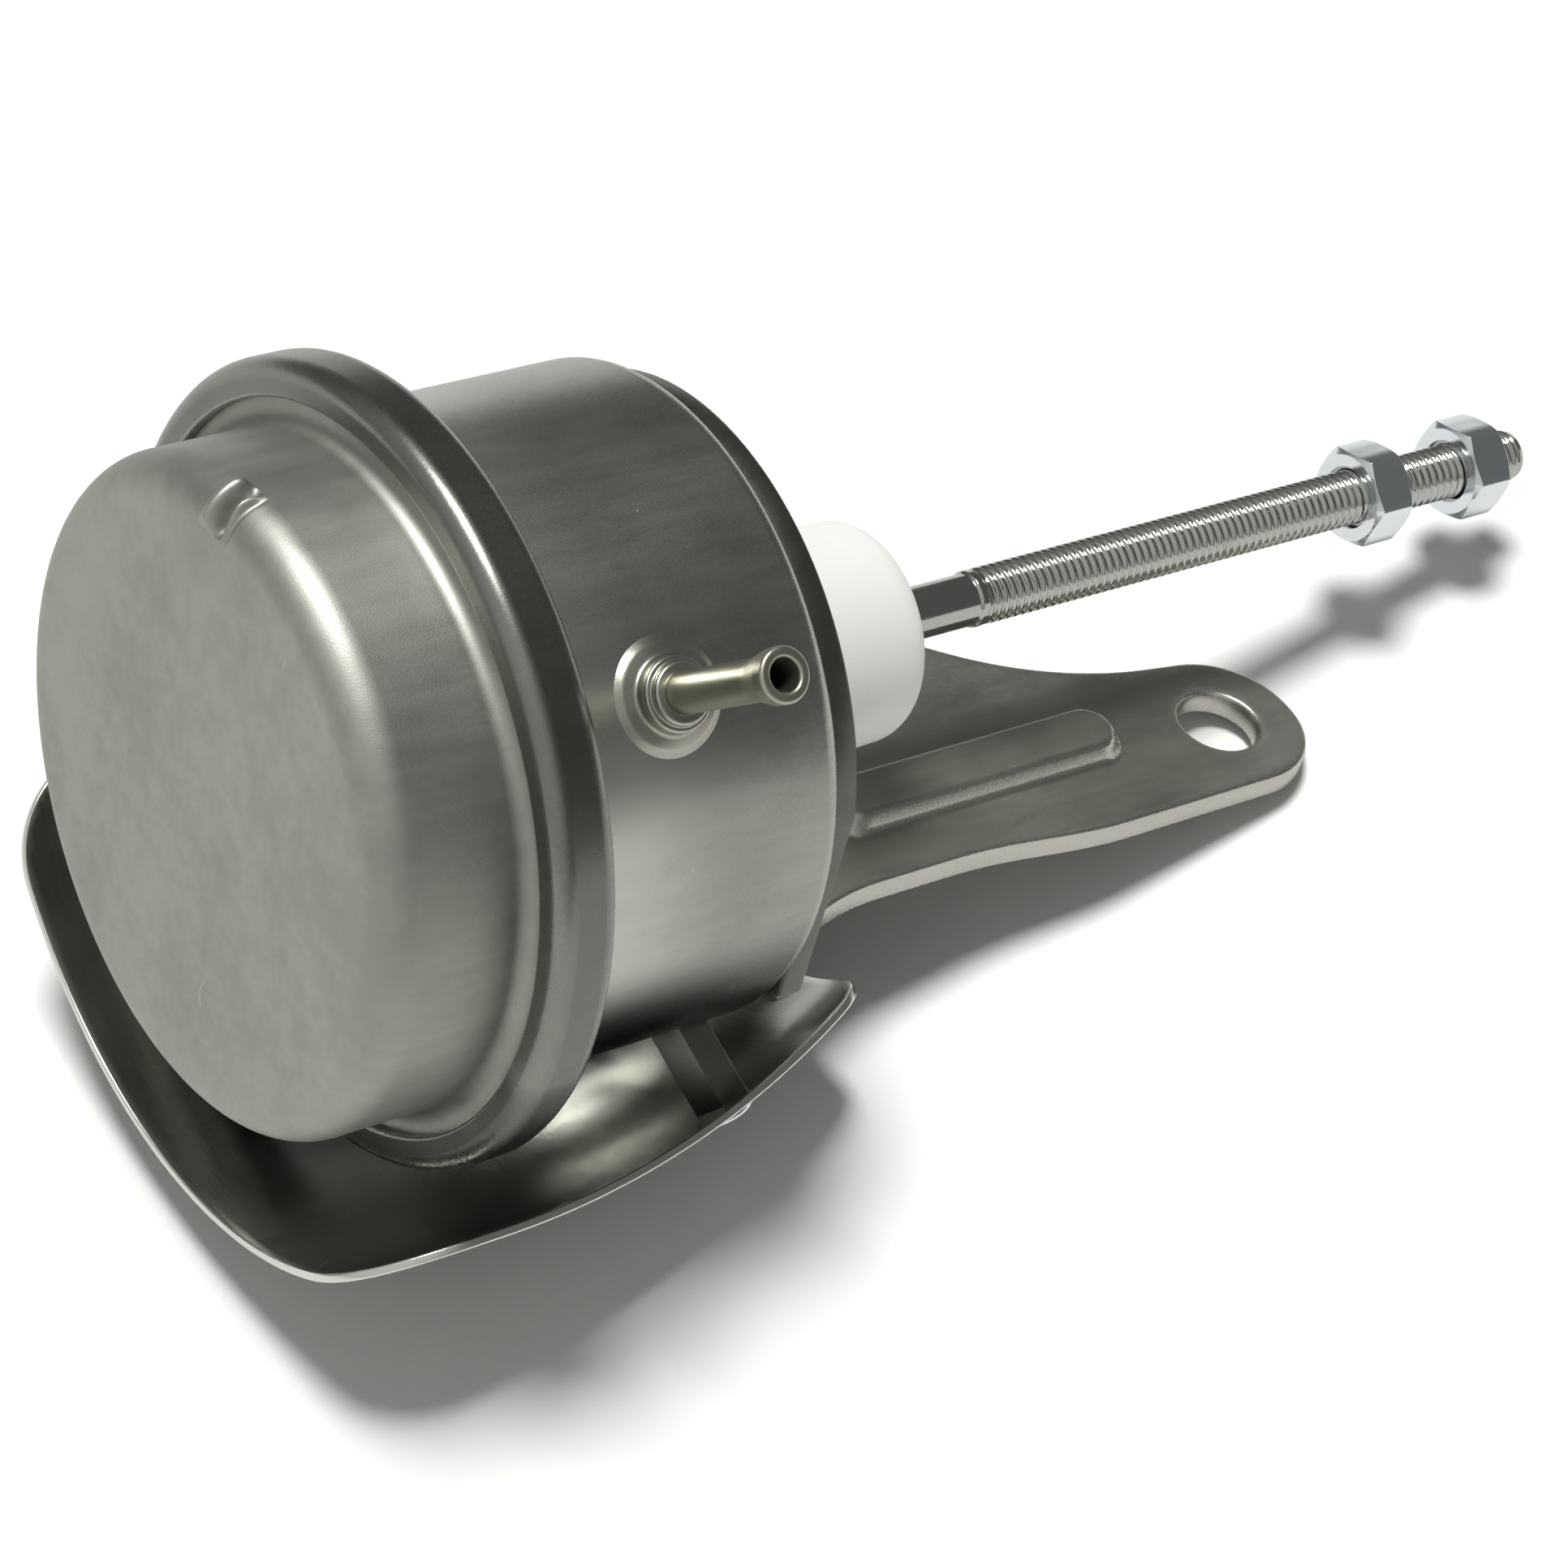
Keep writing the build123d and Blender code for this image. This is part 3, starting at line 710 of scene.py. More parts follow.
def turned_by(columns: Sequence[Sequence[OutlinePoint]], angles: Sequence[float]) -> Form:
    """Closed ring about the X axis whose section may differ with the angle.

    Args:
        columns: One section of (along, out, wear) points for each angle, all as long.
        angles: The angles in radians, from +Z towards -Y, over one full turn.

    Returns:
        The ring. Points on the axis are merged when its mesh is made.
    """
    sections = np.array(columns, dtype=float)
    spin = np.array(angles)[:, None]
    points = np.stack((sections[..., 0], -sections[..., 1] * np.sin(spin), sections[..., 1] * np.cos(spin)), axis=-1)
    turns, long = sections.shape[:2]
    faces: list[tuple[int, ...]] = []
    for turn in range(turns):
        this, that = turn * long, (turn + 1) % turns * long
        for step in range(long):
            after = (step + 1) % long
            if sections[turn, step, 1] < 1e-6 and sections[turn, after, 1] < 1e-6:
                continue
            faces.append((this + step, this + after, that + after, that + step))
    return Form(points.reshape(-1, 3), faces, sections[..., 2].reshape(-1))


def turned(section: Sequence[OutlinePoint], segments: int) -> Form:
    """The section turned about the X axis.

    Args:
        section: Closed outline of (along, out, wear) points.
        segments: Number of columns round the axis.

    Returns:
        The turned form.
    """
    angles = [2 * math.pi * step / segments for step in range(segments)]
    return turned_by([section] * segments, angles)


def hexagon_angles(fine: int = 6) -> list[float]:
    """Angles about a hexagon's axis, close together at its corners.

    Args:
        fine: Number of even steps between two corners.

    Returns:
        Angles in radians over one turn, with a corner at 30 degrees.
    """
    angles: list[float] = []
    for side in range(6):
        corner = 30.0 + 60.0 * side
        for step in (-3.2, -1.9, -1.1, -0.5, 0.0, 0.5, 1.1, 1.9, 3.2):
            angles.append(math.radians(corner + step))
        for step in range(1, fine):
            angles.append(math.radians(corner + 4.0 + 52.0 * step / fine))
    return angles


def hexagon_reach(flats: float, angle: float, corner_cut: float) -> float:
    """Distance from a hexagon's axis to its side.

    Args:
        flats: Width across flats.
        angle: Angle in radians, 0 at the middle of a side.
        corner_cut: How much the corners are rounded off.

    Returns:
        The distance, softly limited near the corners.
    """
    from_middle = (angle + math.radians(30)) % math.radians(60) - math.radians(30)
    sharp = flats / 2 / math.cos(from_middle)
    limit = flats / math.sqrt(3) - corner_cut
    share = max(0.0, min(1.0, (sharp - limit + 2 * corner_cut) / (3 * corner_cut)))
    return sharp - corner_cut * share * share


@dataclass(frozen=True)
class Nut:
    """Hexagonal nut with chamfered corners and a countersunk bore."""

    flats: float
    height: float
    bore: float
    corner_cut: float = 0.16
    sink: float = 0.45
    face_share: float = 0.955
    chamfer: float = 30.0
    outer_bend: float = 0.10
    inner_bend: float = 0.08

    def section(self, angle: float) -> list[OutlinePoint]:
        """Section of the nut at one angle, with the same number of points at each."""
        reach = hexagon_reach(self.flats, angle, self.corner_cut)
        face = self.flats / 2 * self.face_share
        drop = max(0.02, (reach - face) * math.tan(math.radians(self.chamfer)))
        corners = [
            (0.0, self.bore + self.sink), (0.0, face), (drop, reach), (self.height - drop, reach),
            (self.height, face), (self.height, self.bore + self.sink),
            (self.height - self.sink, self.bore), (self.sink, self.bore),
        ]
        radii = [self.inner_bend] + [self.outer_bend] * 4 + [self.inner_bend] * 3
        at_corner = min(1.0, max(0.0, (reach / (self.flats / 2) - 1.10) / 0.05))
        return [(x, out, max(worn, at_corner if out > face + 0.1 else 0.0))
                for x, out, worn in rounded(corners, radii, 3, 0.0, 0.06)]

    def form(self, place: float, turn: float) -> Form:
        """The nut on the X axis.

        Args:
            place: Where its lower face stands.
            turn: Turn about the axis in degrees.

        Returns:
            The nut.
        """
        angles = hexagon_angles()
        ring = turned_by([self.section(angle) for angle in angles], angles)
        return ring.moved(Matrix.Translation((place, 0, 0)) @ Matrix.Rotation(math.radians(turn), 4, "X"))


@dataclass(frozen=True)
class Hole:
    """Round hole in a flat blank."""

    centre: Pair
    radius: float

    def line(self, segments: int = 72) -> list[Pair]:
        """Points round the hole, clockwise."""
        return [(self.centre[0] + self.radius * math.cos(-2 * math.pi * i / segments),
                 self.centre[1] + self.radius * math.sin(-2 * math.pi * i / segments)) for i in range(segments)]


@dataclass
class Blank:
    """Flat blank of a sheet that is later bent into its place."""

    outline: list[Pair]
    holes: list[Hole]
    thickness: float
    edge: float
    grid: float
    fine: Callable[[np.ndarray], np.ndarray] | None = None
    batch: int = 2000
    clearance: float = 0.45
    corner_wear: float = 1.0
    wall_wear: float = 0.8
    face_wear: float = 0.6

    def loops(self) -> list[np.ndarray]:
        """The outline and the holes as closed lines, all with the sheet on their left."""
        loops = [np.array(line) for line in (self.outline, *(hole.line() for hole in self.holes))]
        ahead = np.roll(loops[0], -1, axis=0)
        if np.sum(loops[0][:, 0] * ahead[:, 1] - ahead[:, 0] * loops[0][:, 1]) < 0:
            loops[0] = loops[0][::-1]
        return loops

    def inset(self, loop: np.ndarray, depth: float) -> np.ndarray:
        """The loop moved into the sheet by a depth."""
        run = np.roll(loop, -1, axis=0) - np.roll(loop, 1, axis=0)
        run /= np.linalg.norm(run, axis=1)[:, None]
        return loop + depth * np.stack((-run[:, 1], run[:, 0]), axis=1)

    @staticmethod
    def inside(points: np.ndarray, loop: np.ndarray) -> np.ndarray:
        """Which points lie inside a closed loop."""
        within = np.zeros(len(points), dtype=bool)
        for (x1, y1), (x2, y2) in zip(loop, np.roll(loop, -1, axis=0)):
            crosses = (y1 > points[:, 1]) != (y2 > points[:, 1])
            if crosses.any():
                at = x1 + (points[crosses, 1] - y1) * (x2 - x1) / (y2 - y1)
                within[crosses] ^= points[crosses, 0] < at
        return within

    def within(self, points: np.ndarray, rims: list[np.ndarray]) -> np.ndarray:
        """Which points lie inside the outline's rim and in none of the holes."""
        keep = self.inside(points, rims[0])
        for rim in rims[1:]:
            keep &= ~self.inside(points, rim)
        return keep

    def field(self, rims: list[np.ndarray]) -> np.ndarray:
        """Grid points well inside the flat face."""
        low, high = rims[0].min(axis=0), rims[0].max(axis=0)
        axes = [np.arange(low[i], high[i], self.grid) for i in (0, 1)]
        points = np.stack(np.meshgrid(*axes), axis=-1).reshape(-1, 2)
        if self.fine is not None:
            close = [np.arange(low[i], high[i], self.grid / 2) for i in (0, 1)]
            extra = np.stack(np.meshgrid(*close), axis=-1).reshape(-1, 2)
            points = np.unique(np.round(np.vstack((points, extra[self.fine(extra)])), 5), axis=0)
        points = points[self.within(points, rims)]
        rim_points = np.vstack(rims)
        far = np.ones(len(points), dtype=bool)
        for start in range(0, len(points), self.batch):
            part = slice(start, start + self.batch)
            gap = np.min(np.sum((points[part, None] - rim_points[None]) ** 2, axis=-1), axis=1)
            far[part] = gap > (self.grid * self.clearance) ** 2
        return points[far]

    def form(self, bent: Callable[[np.ndarray, np.ndarray], np.ndarray]) -> Form:
        """Cut, round and bend the sheet.

        Args:
            bent: Turns flat places and heights from the lower face into places in the frame.

        Returns:
            The closed sheet.
        """
        loops = self.loops()
        rims = [self.inset(loop, self.edge) for loop in loops]
        inner = self.field(rims)
        flat = np.vstack((*rims, inner))
        lines: list[tuple[int, int]] = []
        start = 0
        for rim in rims:
            lines += [(start + i, start + (i + 1) % len(rim)) for i in range(len(rim))]
            start += len(rim)
        corners, _, faces, origins, _, _ = delaunay_2d_cdt([Vector(p) for p in flat], lines, [], 0, 1e-6)
        corners = np.array([tuple(p) for p in corners])
        middles = np.array([corners[list(face)].mean(axis=0) for face in faces])
        faces = [tuple(face) for face, kept in zip(faces, self.within(middles, rims)) if kept]
        place_of = {old: new for new, olds in enumerate(origins) for old in olds}
        total = len(corners)
        thick = np.full(total, self.thickness)
        flats, heights, wear = [corners, corners], [np.zeros(total), thick], [np.zeros(total), np.zeros(total)]
        made = [tuple(reversed(face)) for face in faces] + [tuple(i + total for i in face) for face in faces]
        count, start = 2 * total, 0
        for loop, rim in zip(loops, rims):
            size = len(loop)
            bottom = [place_of[start + i] for i in range(size)]
            rows = [bottom]
            for up, angle in [(False, 30), (False, 60), (False, 90), (True, 90), (True, 60), (True, 30)]:
                swing = math.radians(angle)
                flats.append(self.inset(loop, self.edge * (1 - math.sin(swing))))
                height = self.edge * (1 - math.cos(swing))
                heights.append(np.full(size, self.thickness - height if up else height))
                wear.append(np.full(size, self.wall_wear if angle == 90 else self.corner_wear))
                rows.append(list(range(count, count + size)))
                count += size
            rows.append([place + total for place in bottom])
            for low, high in zip(rows, rows[1:]):
                made += [(low[i], low[(i + 1) % size], high[(i + 1) % size], high[i]) for i in range(size)]
            wear[0][bottom] = wear[1][bottom] = self.face_wear
            start += size
        return Form(bent(np.vstack(flats), np.concatenate(heights)), made, np.concatenate(wear))


class NodeTree(Bench):
    """A Geometry Nodes tree under construction, with named inputs."""

    def __init__(self, name: str, numbers: Sequence[str], counts: Sequence[str] = ()) -> None:
        """Start a tree that also has a geometry and a material as inputs.

        Args:
            name: Name of the tree.
            numbers: Names of the inputs that are numbers.
            counts: Names of the inputs that are whole numbers.
        """
        super().__init__(bpy.data.node_groups.new(name, "GeometryNodeTree"))
        new = self.tree.interface.new_socket
        new("Geometry", in_out="INPUT", socket_type="NodeSocketGeometry")
        kinds = {**dict.fromkeys(counts, "Int"), **dict.fromkeys(numbers, "Float"), "Material": "Material"}
        self.keys = {label: new(label, in_out="INPUT", socket_type=f"NodeSocket{kind}").identifier
                     for label, kind in kinds.items()}
        new("Geometry", in_out="OUTPUT", socket_type="NodeSocketGeometry")
        self.given = {out.name: Level(self, out) for out in self.tree.nodes.new("NodeGroupInput").outputs}
        self.result = self.tree.nodes.new("NodeGroupOutput")

    def close(self, geometry: bpy.types.NodeSocket) -> None:
        """End the tree with real geometry in the given material."""
        real = self.node("GeometryNodeRealizeInstances", {}, {"Geometry": geometry})
        values = {"Geometry": real.outputs[0], "Material": self.given["Material"]}
        painted = self.node("GeometryNodeSetMaterial", {}, values)
        self.tree.links.new(painted.outputs[0], self.result.inputs[0])

    def grown(self, mesh: bpy.types.Mesh, values: dict[str, Any]) -> bpy.types.Mesh:
        """Run the tree on a mesh and keep the result as a plain mesh.

        Args:
            mesh: What the tree works on.
            values: Values of the named inputs.

        Returns:
            The evaluated mesh.
        """
        holder = linked("holder", mesh)
        modifier = holder.modifiers.new("grow", "NODES")
        modifier.node_group = self.tree
        for label, value in values.items():
            modifier[self.keys[label]] = value
        graph = bpy.context.evaluated_depsgraph_get()
        made = bpy.data.meshes.new_from_object(holder.evaluated_get(graph), preserve_all_data_layers=True,
                                               depsgraph=graph)
        bpy.data.objects.remove(holder)
        return made


class Spread(NodeTree):
    """Copies of a fastener, turned about the rod's axis and shifted across it."""

    def __init__(self) -> None:
        """Build the tree that sets the copies on evenly spaced points."""
        super().__init__("spread fasteners", ("First turn", "Turn step", "First shift", "Shift step"), ("Copies",))
        given = self.given
        index = Level(self, self.node("GeometryNodeInputIndex", {}, {}).outputs[0])
        place = self.joined(0.0, given["First shift"] + index * given["Shift step"], 0.0)
        spin = self.joined(given["First turn"] + index * given["Turn step"], 0.0, 0.0)
        points = self.node("GeometryNodePoints", {}, {"Count": given["Copies"], "Position": place})
        values = {"Points": points.outputs[0], "Instance": given["Geometry"], "Rotation": spin}
        self.close(self.node("GeometryNodeInstanceOnPoints", {}, values).outputs[0])


class RolledThread(NodeTree):
    """A rolled screw thread, laid on a grid that is wrapped round the rod's axis."""

    def __init__(self) -> None:
        """Build the tree that wraps the grid and raises the helical crest."""
        super().__init__("rolled thread", ("Start", "Length", "Pitch", "Root", "Crest", "Run in"), ("Rows", "Columns"))
        given = self.given
        length, root = given["Length"], given["Root"]
        values = {"Size X": length, "Size Y": 2 * math.pi, "Vertices X": given["Rows"],
                  "Vertices Y": given["Columns"]}
        grid = self.node("GeometryNodeMeshGrid", {}, values)
        position = Spot(self, self.node("GeometryNodeInputPosition", {}, {}).outputs[0])
        along, angle, _ = position.parts()
        along = along + length * 0.5
        lead = angle * (given["Pitch"] / (2 * math.pi))
        phase = self.maths("FRACT", (along + lead) / given["Pitch"])
        flank = abs(phase - 0.5).rise(0.44, 0.07)
        ends = (along / given["Run in"]).smallest((length - along) / given["Run in"]).smallest(1.0)
        depth = given["Crest"] - root
        out = (root + depth * flank).smallest(root + ends * depth)
        across, up = out * self.maths("SINE", angle), out * self.maths("COSINE", angle)
        place = self.joined(along + given["Start"], across, up)
        laid = self.node("GeometryNodeSetPosition", {}, {"Geometry": grid.outputs[0], "Position": place})
        closed = self.node("GeometryNodeMergeByDistance", {}, {"Geometry": laid.outputs[0], "Distance": 1e-6})
        smooth = self.node("GeometryNodeSetShadeSmooth", {}, {"Geometry": closed.outputs[0], "Shade Smooth": True})
        self.close(smooth.outputs[0])


@dataclass
class Workshop:
    """Where pieces are finished: it paints them, sets them on their bodies and reports them."""

    frame: dict[str, Any]
    painted: dict[Look, bpy.types.Material] = field(default_factory=dict)
    spread: Spread = field(default_factory=Spread)
    thread: RolledThread = field(default_factory=RolledThread)

    def material(self, look: Look) -> bpy.types.Material:
        """The material of a look, painted at its first use."""
        if look not in self.painted:
            self.painted[look] = look.value.paint()
        return self.painted[look]

    def piece(self, shape: Form | bpy.types.Mesh, name: str, look: Look, body: str, node: str) -> bpy.types.Object:
        """Finish one piece.

        Args:
            shape: Its form or its mesh.
            name: Name of the piece.
            look: Its finish.
            body: The body that it rides on.
            node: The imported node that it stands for.

        Returns:
            The finished object.
        """
        mesh = shape.mesh(name) if isinstance(shape, Form) else shape
        mesh.name = name
        mesh.materials.clear()
        mesh.materials.append(self.material(look))
        mesh.polygons.foreach_set("material_index", [0] * len(mesh.polygons))
        piece = linked(name, mesh)
        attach(piece, body)
        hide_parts(node)
        mesh.calc_loop_triangles()
        LOG.info("%s: %d triangles, %s, on %s", name, len(mesh.loop_triangles), look.value.name, body)
        return piece

    def copies(self, form: Form, look: Look, turns: Pair = (0.0, 0.0), shifts: Pair = (0.0, 0.0)) -> bpy.types.Mesh:
        """Two copies of a fastener by the spreading tree.

        Args:
            form: The fastener.
            look: Its finish.
            turns: First turn and step about the rod's axis, in degrees.
            shifts: First shift and step along Y, in millimetres.

        Returns:
            Both copies as one mesh.
        """
        values = {
            "Copies": 2, "First turn": math.radians(turns[0]), "Turn step": math.radians(turns[1]),
            "First shift": shifts[0] * MM, "Shift step": shifts[1] * MM, "Material": self.material(look),
        }
        return self.spread.grown(form.mesh("fastener"), values)

    def threaded(self, start: float, end: float, pitch: float, root: float, crest: float, columns: int) -> Form:
        """A rolled thread on the X axis by the thread tree.

        Args:
            start: Where it begins.
            end: Where it ends.
            pitch: Distance between crests.
            root: Radius at the root.
            crest: Radius at the crest.
            columns: Points round the axis.

        Returns:
            The thread, with both ends closed.
        """
        rows = int((end - start) / pitch * 10) + 1
        values = {
            "Start": start * MM, "Length": (end - start) * MM, "Pitch": pitch * MM, "Root": root * MM,
            "Crest": crest * MM, "Run in": 1.2 * pitch * MM, "Rows": rows, "Columns": columns,
            "Material": self.material(Look.ROD),
        }
        mesh = self.thread.grown(bpy.data.meshes.new("thread seed"), values)
        with edited(mesh) as work:
            bmesh.ops.holes_fill(work, edges=[edge for edge in work.edges if edge.is_boundary], sides=0)
            work.verts.index_update()
            points = np.array([tuple(vert.co) for vert in work.verts]) / MM
            faces = [tuple(vert.index for vert in face.verts) for face in work.faces]
        out = np.hypot(points[:, 1], points[:, 2])
        return Form(points, faces, np.clip((out - (crest - 0.12)) / 0.1, 0.0, 1.0) * CREST_WEAR)

    def softened(self, node: str, width: float) -> bpy.types.Mesh:
        """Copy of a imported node's mesh, merged and with its sharp edges broken.

        Args:
            node: Name of the node.
            width: Width of the broken edges in millimetres.

        Returns:
            The new mesh.
        """
        mesh = self.frame["nodes"][node].data.copy()
        with edited(mesh) as work:
            bmesh.ops.remove_doubles(work, verts=work.verts, dist=2e-6)
            bmesh.ops.dissolve_limit(work, angle_limit=math.radians(1.0), verts=work.verts, edges=work.edges)
            sharp = [edge for edge in work.edges if edge.is_manifold and edge.calc_face_angle(0.0) > math.radians(28)]
            bmesh.ops.bevel(work, geom=sharp, offset=width * MM, segments=2, profile=0.5, affect="EDGES",
                            clamp_overlap=True)
        smoothed(mesh).set_sharp_from_angle(angle=math.radians(40))
        return mesh


@dataclass
class Can:
    """The pressed can with its crimp ring, the front cap and the hose nipple."""

    radius: float = 33.0
    sheet: float = 1.2
    length: float = 29.5
    rear_bend: float = 1.8
    ring_radius: float = 39.3
    ring_width: float = 6.5
    ring_lip: float = 35.6
    ring_front_bend: float = 2.4
    ring_rear_bend: float = 1.6
    ring_root_bend: float = 0.8
    rim_edge: float = 0.35
    neck_radius: float = 8.0
    neck_length: float = 14.0
    neck_bend: float = 0.6
    cap_sheet: float = 1.0
    cap_height: float = 15.5
    cap_corner: float = 4.0
    cap_flange_bend: float = 2.2
    vent_angle: float = 9.0
    vent_step: float = 0.28
    vent_half_sweep: float = 46.0
    vent_fade: float = 14.0
    vent_ridges: tuple[tuple[float, float, int, float, float], ...] = (
        (1.35, 0.82, 3, 1.1, math.inf), (-0.15, 0.52, 3, -1.0, math.inf),
        (-0.95, 0.34, 2, 0.55, 22.0), (-1.65, 0.26, 2, -0.32, math.inf))
    tongue_middle: float = 14.0
    nipple_place: float = -18.0
    nipple_angle: float = 44.6
    nipple_radius: float = 2.0
    nipple_bore: float = 1.2
    nipple_length: float = 19.5
    nipple_root: float = 2.5
    mouth_radius: float = 2.6
    mouth_bore: float = 1.6
    mouth_length: float = 4.2
    mouth_lip: float = 1.5
    dome_radius: float = 5.7
    dome_height: float = 0.6
    collar_radius: float = 3.6
    collar_height: float = 1.4
    collar_lip_radius: float = 3.0
    collar_lip: float = 0.8

    @property
    def ring_front(self) -> float:
        """Place of the crimp ring's front face."""
        return -self.length - self.ring_width

    @property
    def cap_face(self) -> float:
        """Place of the cap's flat face."""
        return self.ring_front + self.sheet - self.cap_height

    def shell(self) -> Form:
        """The can with its rolled ring and its neck."""
        path = [
            (self.ring_front, self.ring_lip), (self.ring_front, self.ring_radius), (-self.length, self.ring_radius),
            (-self.length, self.radius), (0.0, self.radius), (0.0, self.neck_radius),
            (self.neck_length, self.neck_radius),
        ]
        bends = [self.ring_front_bend, self.ring_rear_bend, self.ring_root_bend, self.rear_bend, self.neck_bend]
        return turned(rounded(*sheet_line(path, bends, self.sheet, self.rim_edge), 7, 1.6), 256)

    def cap(self) -> Form:
        """The drawn cap, with a small lanced vent in its rounded corner."""
        flange = self.ring_front + self.sheet
        path = [(self.cap_face, 0.0), (self.cap_face, self.radius), (flange, self.radius),
                (flange, self.ring_radius - self.ring_front_bend)]
        bends = [self.cap_corner, self.cap_flange_bend]
        section = rounded(*sheet_line(path, bends, self.cap_sheet), 12, 0.9)
        vent = math.radians(360 - self.vent_angle)
        near = [vent + math.radians(step * self.vent_step) for step in range(-24, 25)]
        gap = 2 * math.pi - (near[-1] - near[0])
        angles = near + [near[-1] + gap * step / 230 for step in range(1, 230)]
        return self.vented(turned_by([section] * len(angles), angles))

    def vented(self, form: Form) -> Form:
        """Press the vent's lip, slot, tongue and crease into the cap's corner.

        Args:
            form: The plain cap, whose points and wear are changed in place.

        Returns:
            The same form.
        """
        points = form.points
        angle = math.radians(-self.vent_angle)
        across = points[:, 1] * math.cos(angle) + points[:, 2] * math.sin(angle)
        out = -points[:, 1] * math.sin(angle) + points[:, 2] * math.cos(angle)
        middle = (self.cap_face + self.cap_corner, self.radius - self.cap_corner)
        from_middle = np.stack((points[:, 0] - middle[0], out - middle[1]), axis=1)
        reach = np.linalg.norm(from_middle, axis=1)
        along = np.degrees(np.arctan2(from_middle[:, 1], -from_middle[:, 0])) - 45.0
        skin = (reach > self.cap_corner - 0.3) & (reach < 9.0) & (out > 0) & (np.abs(across) < 6)
        ends = np.clip((self.vent_half_sweep - np.abs(along)) / self.vent_fade, 0.0, 1.0)
        ends = ends * ends * (3 - 2 * ends)
        shape = np.zeros(len(points))
        for place, half, power, height, sweep in self.vent_ridges:
            beyond = ((along - self.tongue_middle) / sweep) ** 2
            shape += np.exp(-(np.abs(across - place) / half) ** power - beyond) * height
        push = np.where(skin, shape * ends, 0.0)
        direction = from_middle / np.maximum(reach, 1e-6)[:, None]
        points[:, 0] += push * direction[:, 0]
        points[:, 1] += push * direction[:, 1] * -math.sin(angle)
        points[:, 2] += push * direction[:, 1] * math.cos(angle)
        form.wear[:] = np.where(skin, np.maximum(form.wear, np.clip(push, 0, 1) * ends), form.wear)
        return form

    def nipple_frame(self) -> Matrix:
        """Matrix that carries the X axis onto the nipple's axis."""
        sine, cosine = (f(math.radians(self.nipple_angle)) for f in (math.sin, math.cos))
        return Matrix(((0, 0, -1, self.nipple_place), (-sine, cosine, 0, 0), (cosine, sine, 0, 0), (0, 0, 0, 1)))

    def nipple(self) -> Form:
        """The hose nipple with its belled mouth."""
        top = self.radius + self.nipple_length
        low = self.radius - self.nipple_root
        corners = [
            (low, self.nipple_bore), (low, self.nipple_radius), (top - self.mouth_length, self.nipple_radius),
            (top - self.mouth_lip, self.mouth_radius), (top, self.mouth_radius), (top, self.mouth_bore),
            (top - self.mouth_length / 2, self.nipple_bore),
        ]
        return turned(rounded(corners, [0, 0, 4.0, 0.3, 0.35, 0.35, 2.0], 8, 0.8), 72).moved(self.nipple_frame())

    def collar(self) -> Form:
        """The braze collar, whose foot follows the can's wall."""
        low = self.radius - 0.5
        shoulder = self.radius + self.dome_height
        step = shoulder + self.collar_height
        bore = self.nipple_radius - 0.1
        corners = [
            (low, bore), (low, self.dome_radius + 0.25), (self.radius - 0.1, self.dome_radius + 0.2),
            (self.radius + 0.35, self.dome_radius - 0.7), (shoulder, self.collar_radius),
            (step, self.collar_radius), (step, self.collar_lip_radius),
            (step + self.collar_lip, self.collar_lip_radius), (step + self.collar_lip, bore),
        ]
        form = turned(rounded(corners, [0, 0, 0.3, 1.2, 0.5, 0.4, 0.2, 0.4, 0], 6, 0.5), 96)
        share = np.clip((np.hypot(form.points[:, 1], form.points[:, 2]) - 3.0) / 2.4, 0.0, 1.0)
        drop = self.radius - np.sqrt(self.radius ** 2 - form.points[:, 1] ** 2)
        form.points[:, 0] -= drop * share
        return form.moved(self.nipple_frame())

    def dress(self, shop: Workshop) -> None:
        """Build and finish the can's pieces."""
        shop.piece(self.shell(), "main_can_shell", Look.CAN, "housing", "main_can")
        shop.piece(self.cap(), "front_cap_drawn", Look.CAP, "housing", "front_cap")
        shop.piece(self.nipple(), "hose_nipple_tube", Look.NIPPLE, "housing", "hose_nipple")
        shop.piece(self.collar(), "nipple_braze_collar", Look.BRAZE, "housing", "nipple_collar")


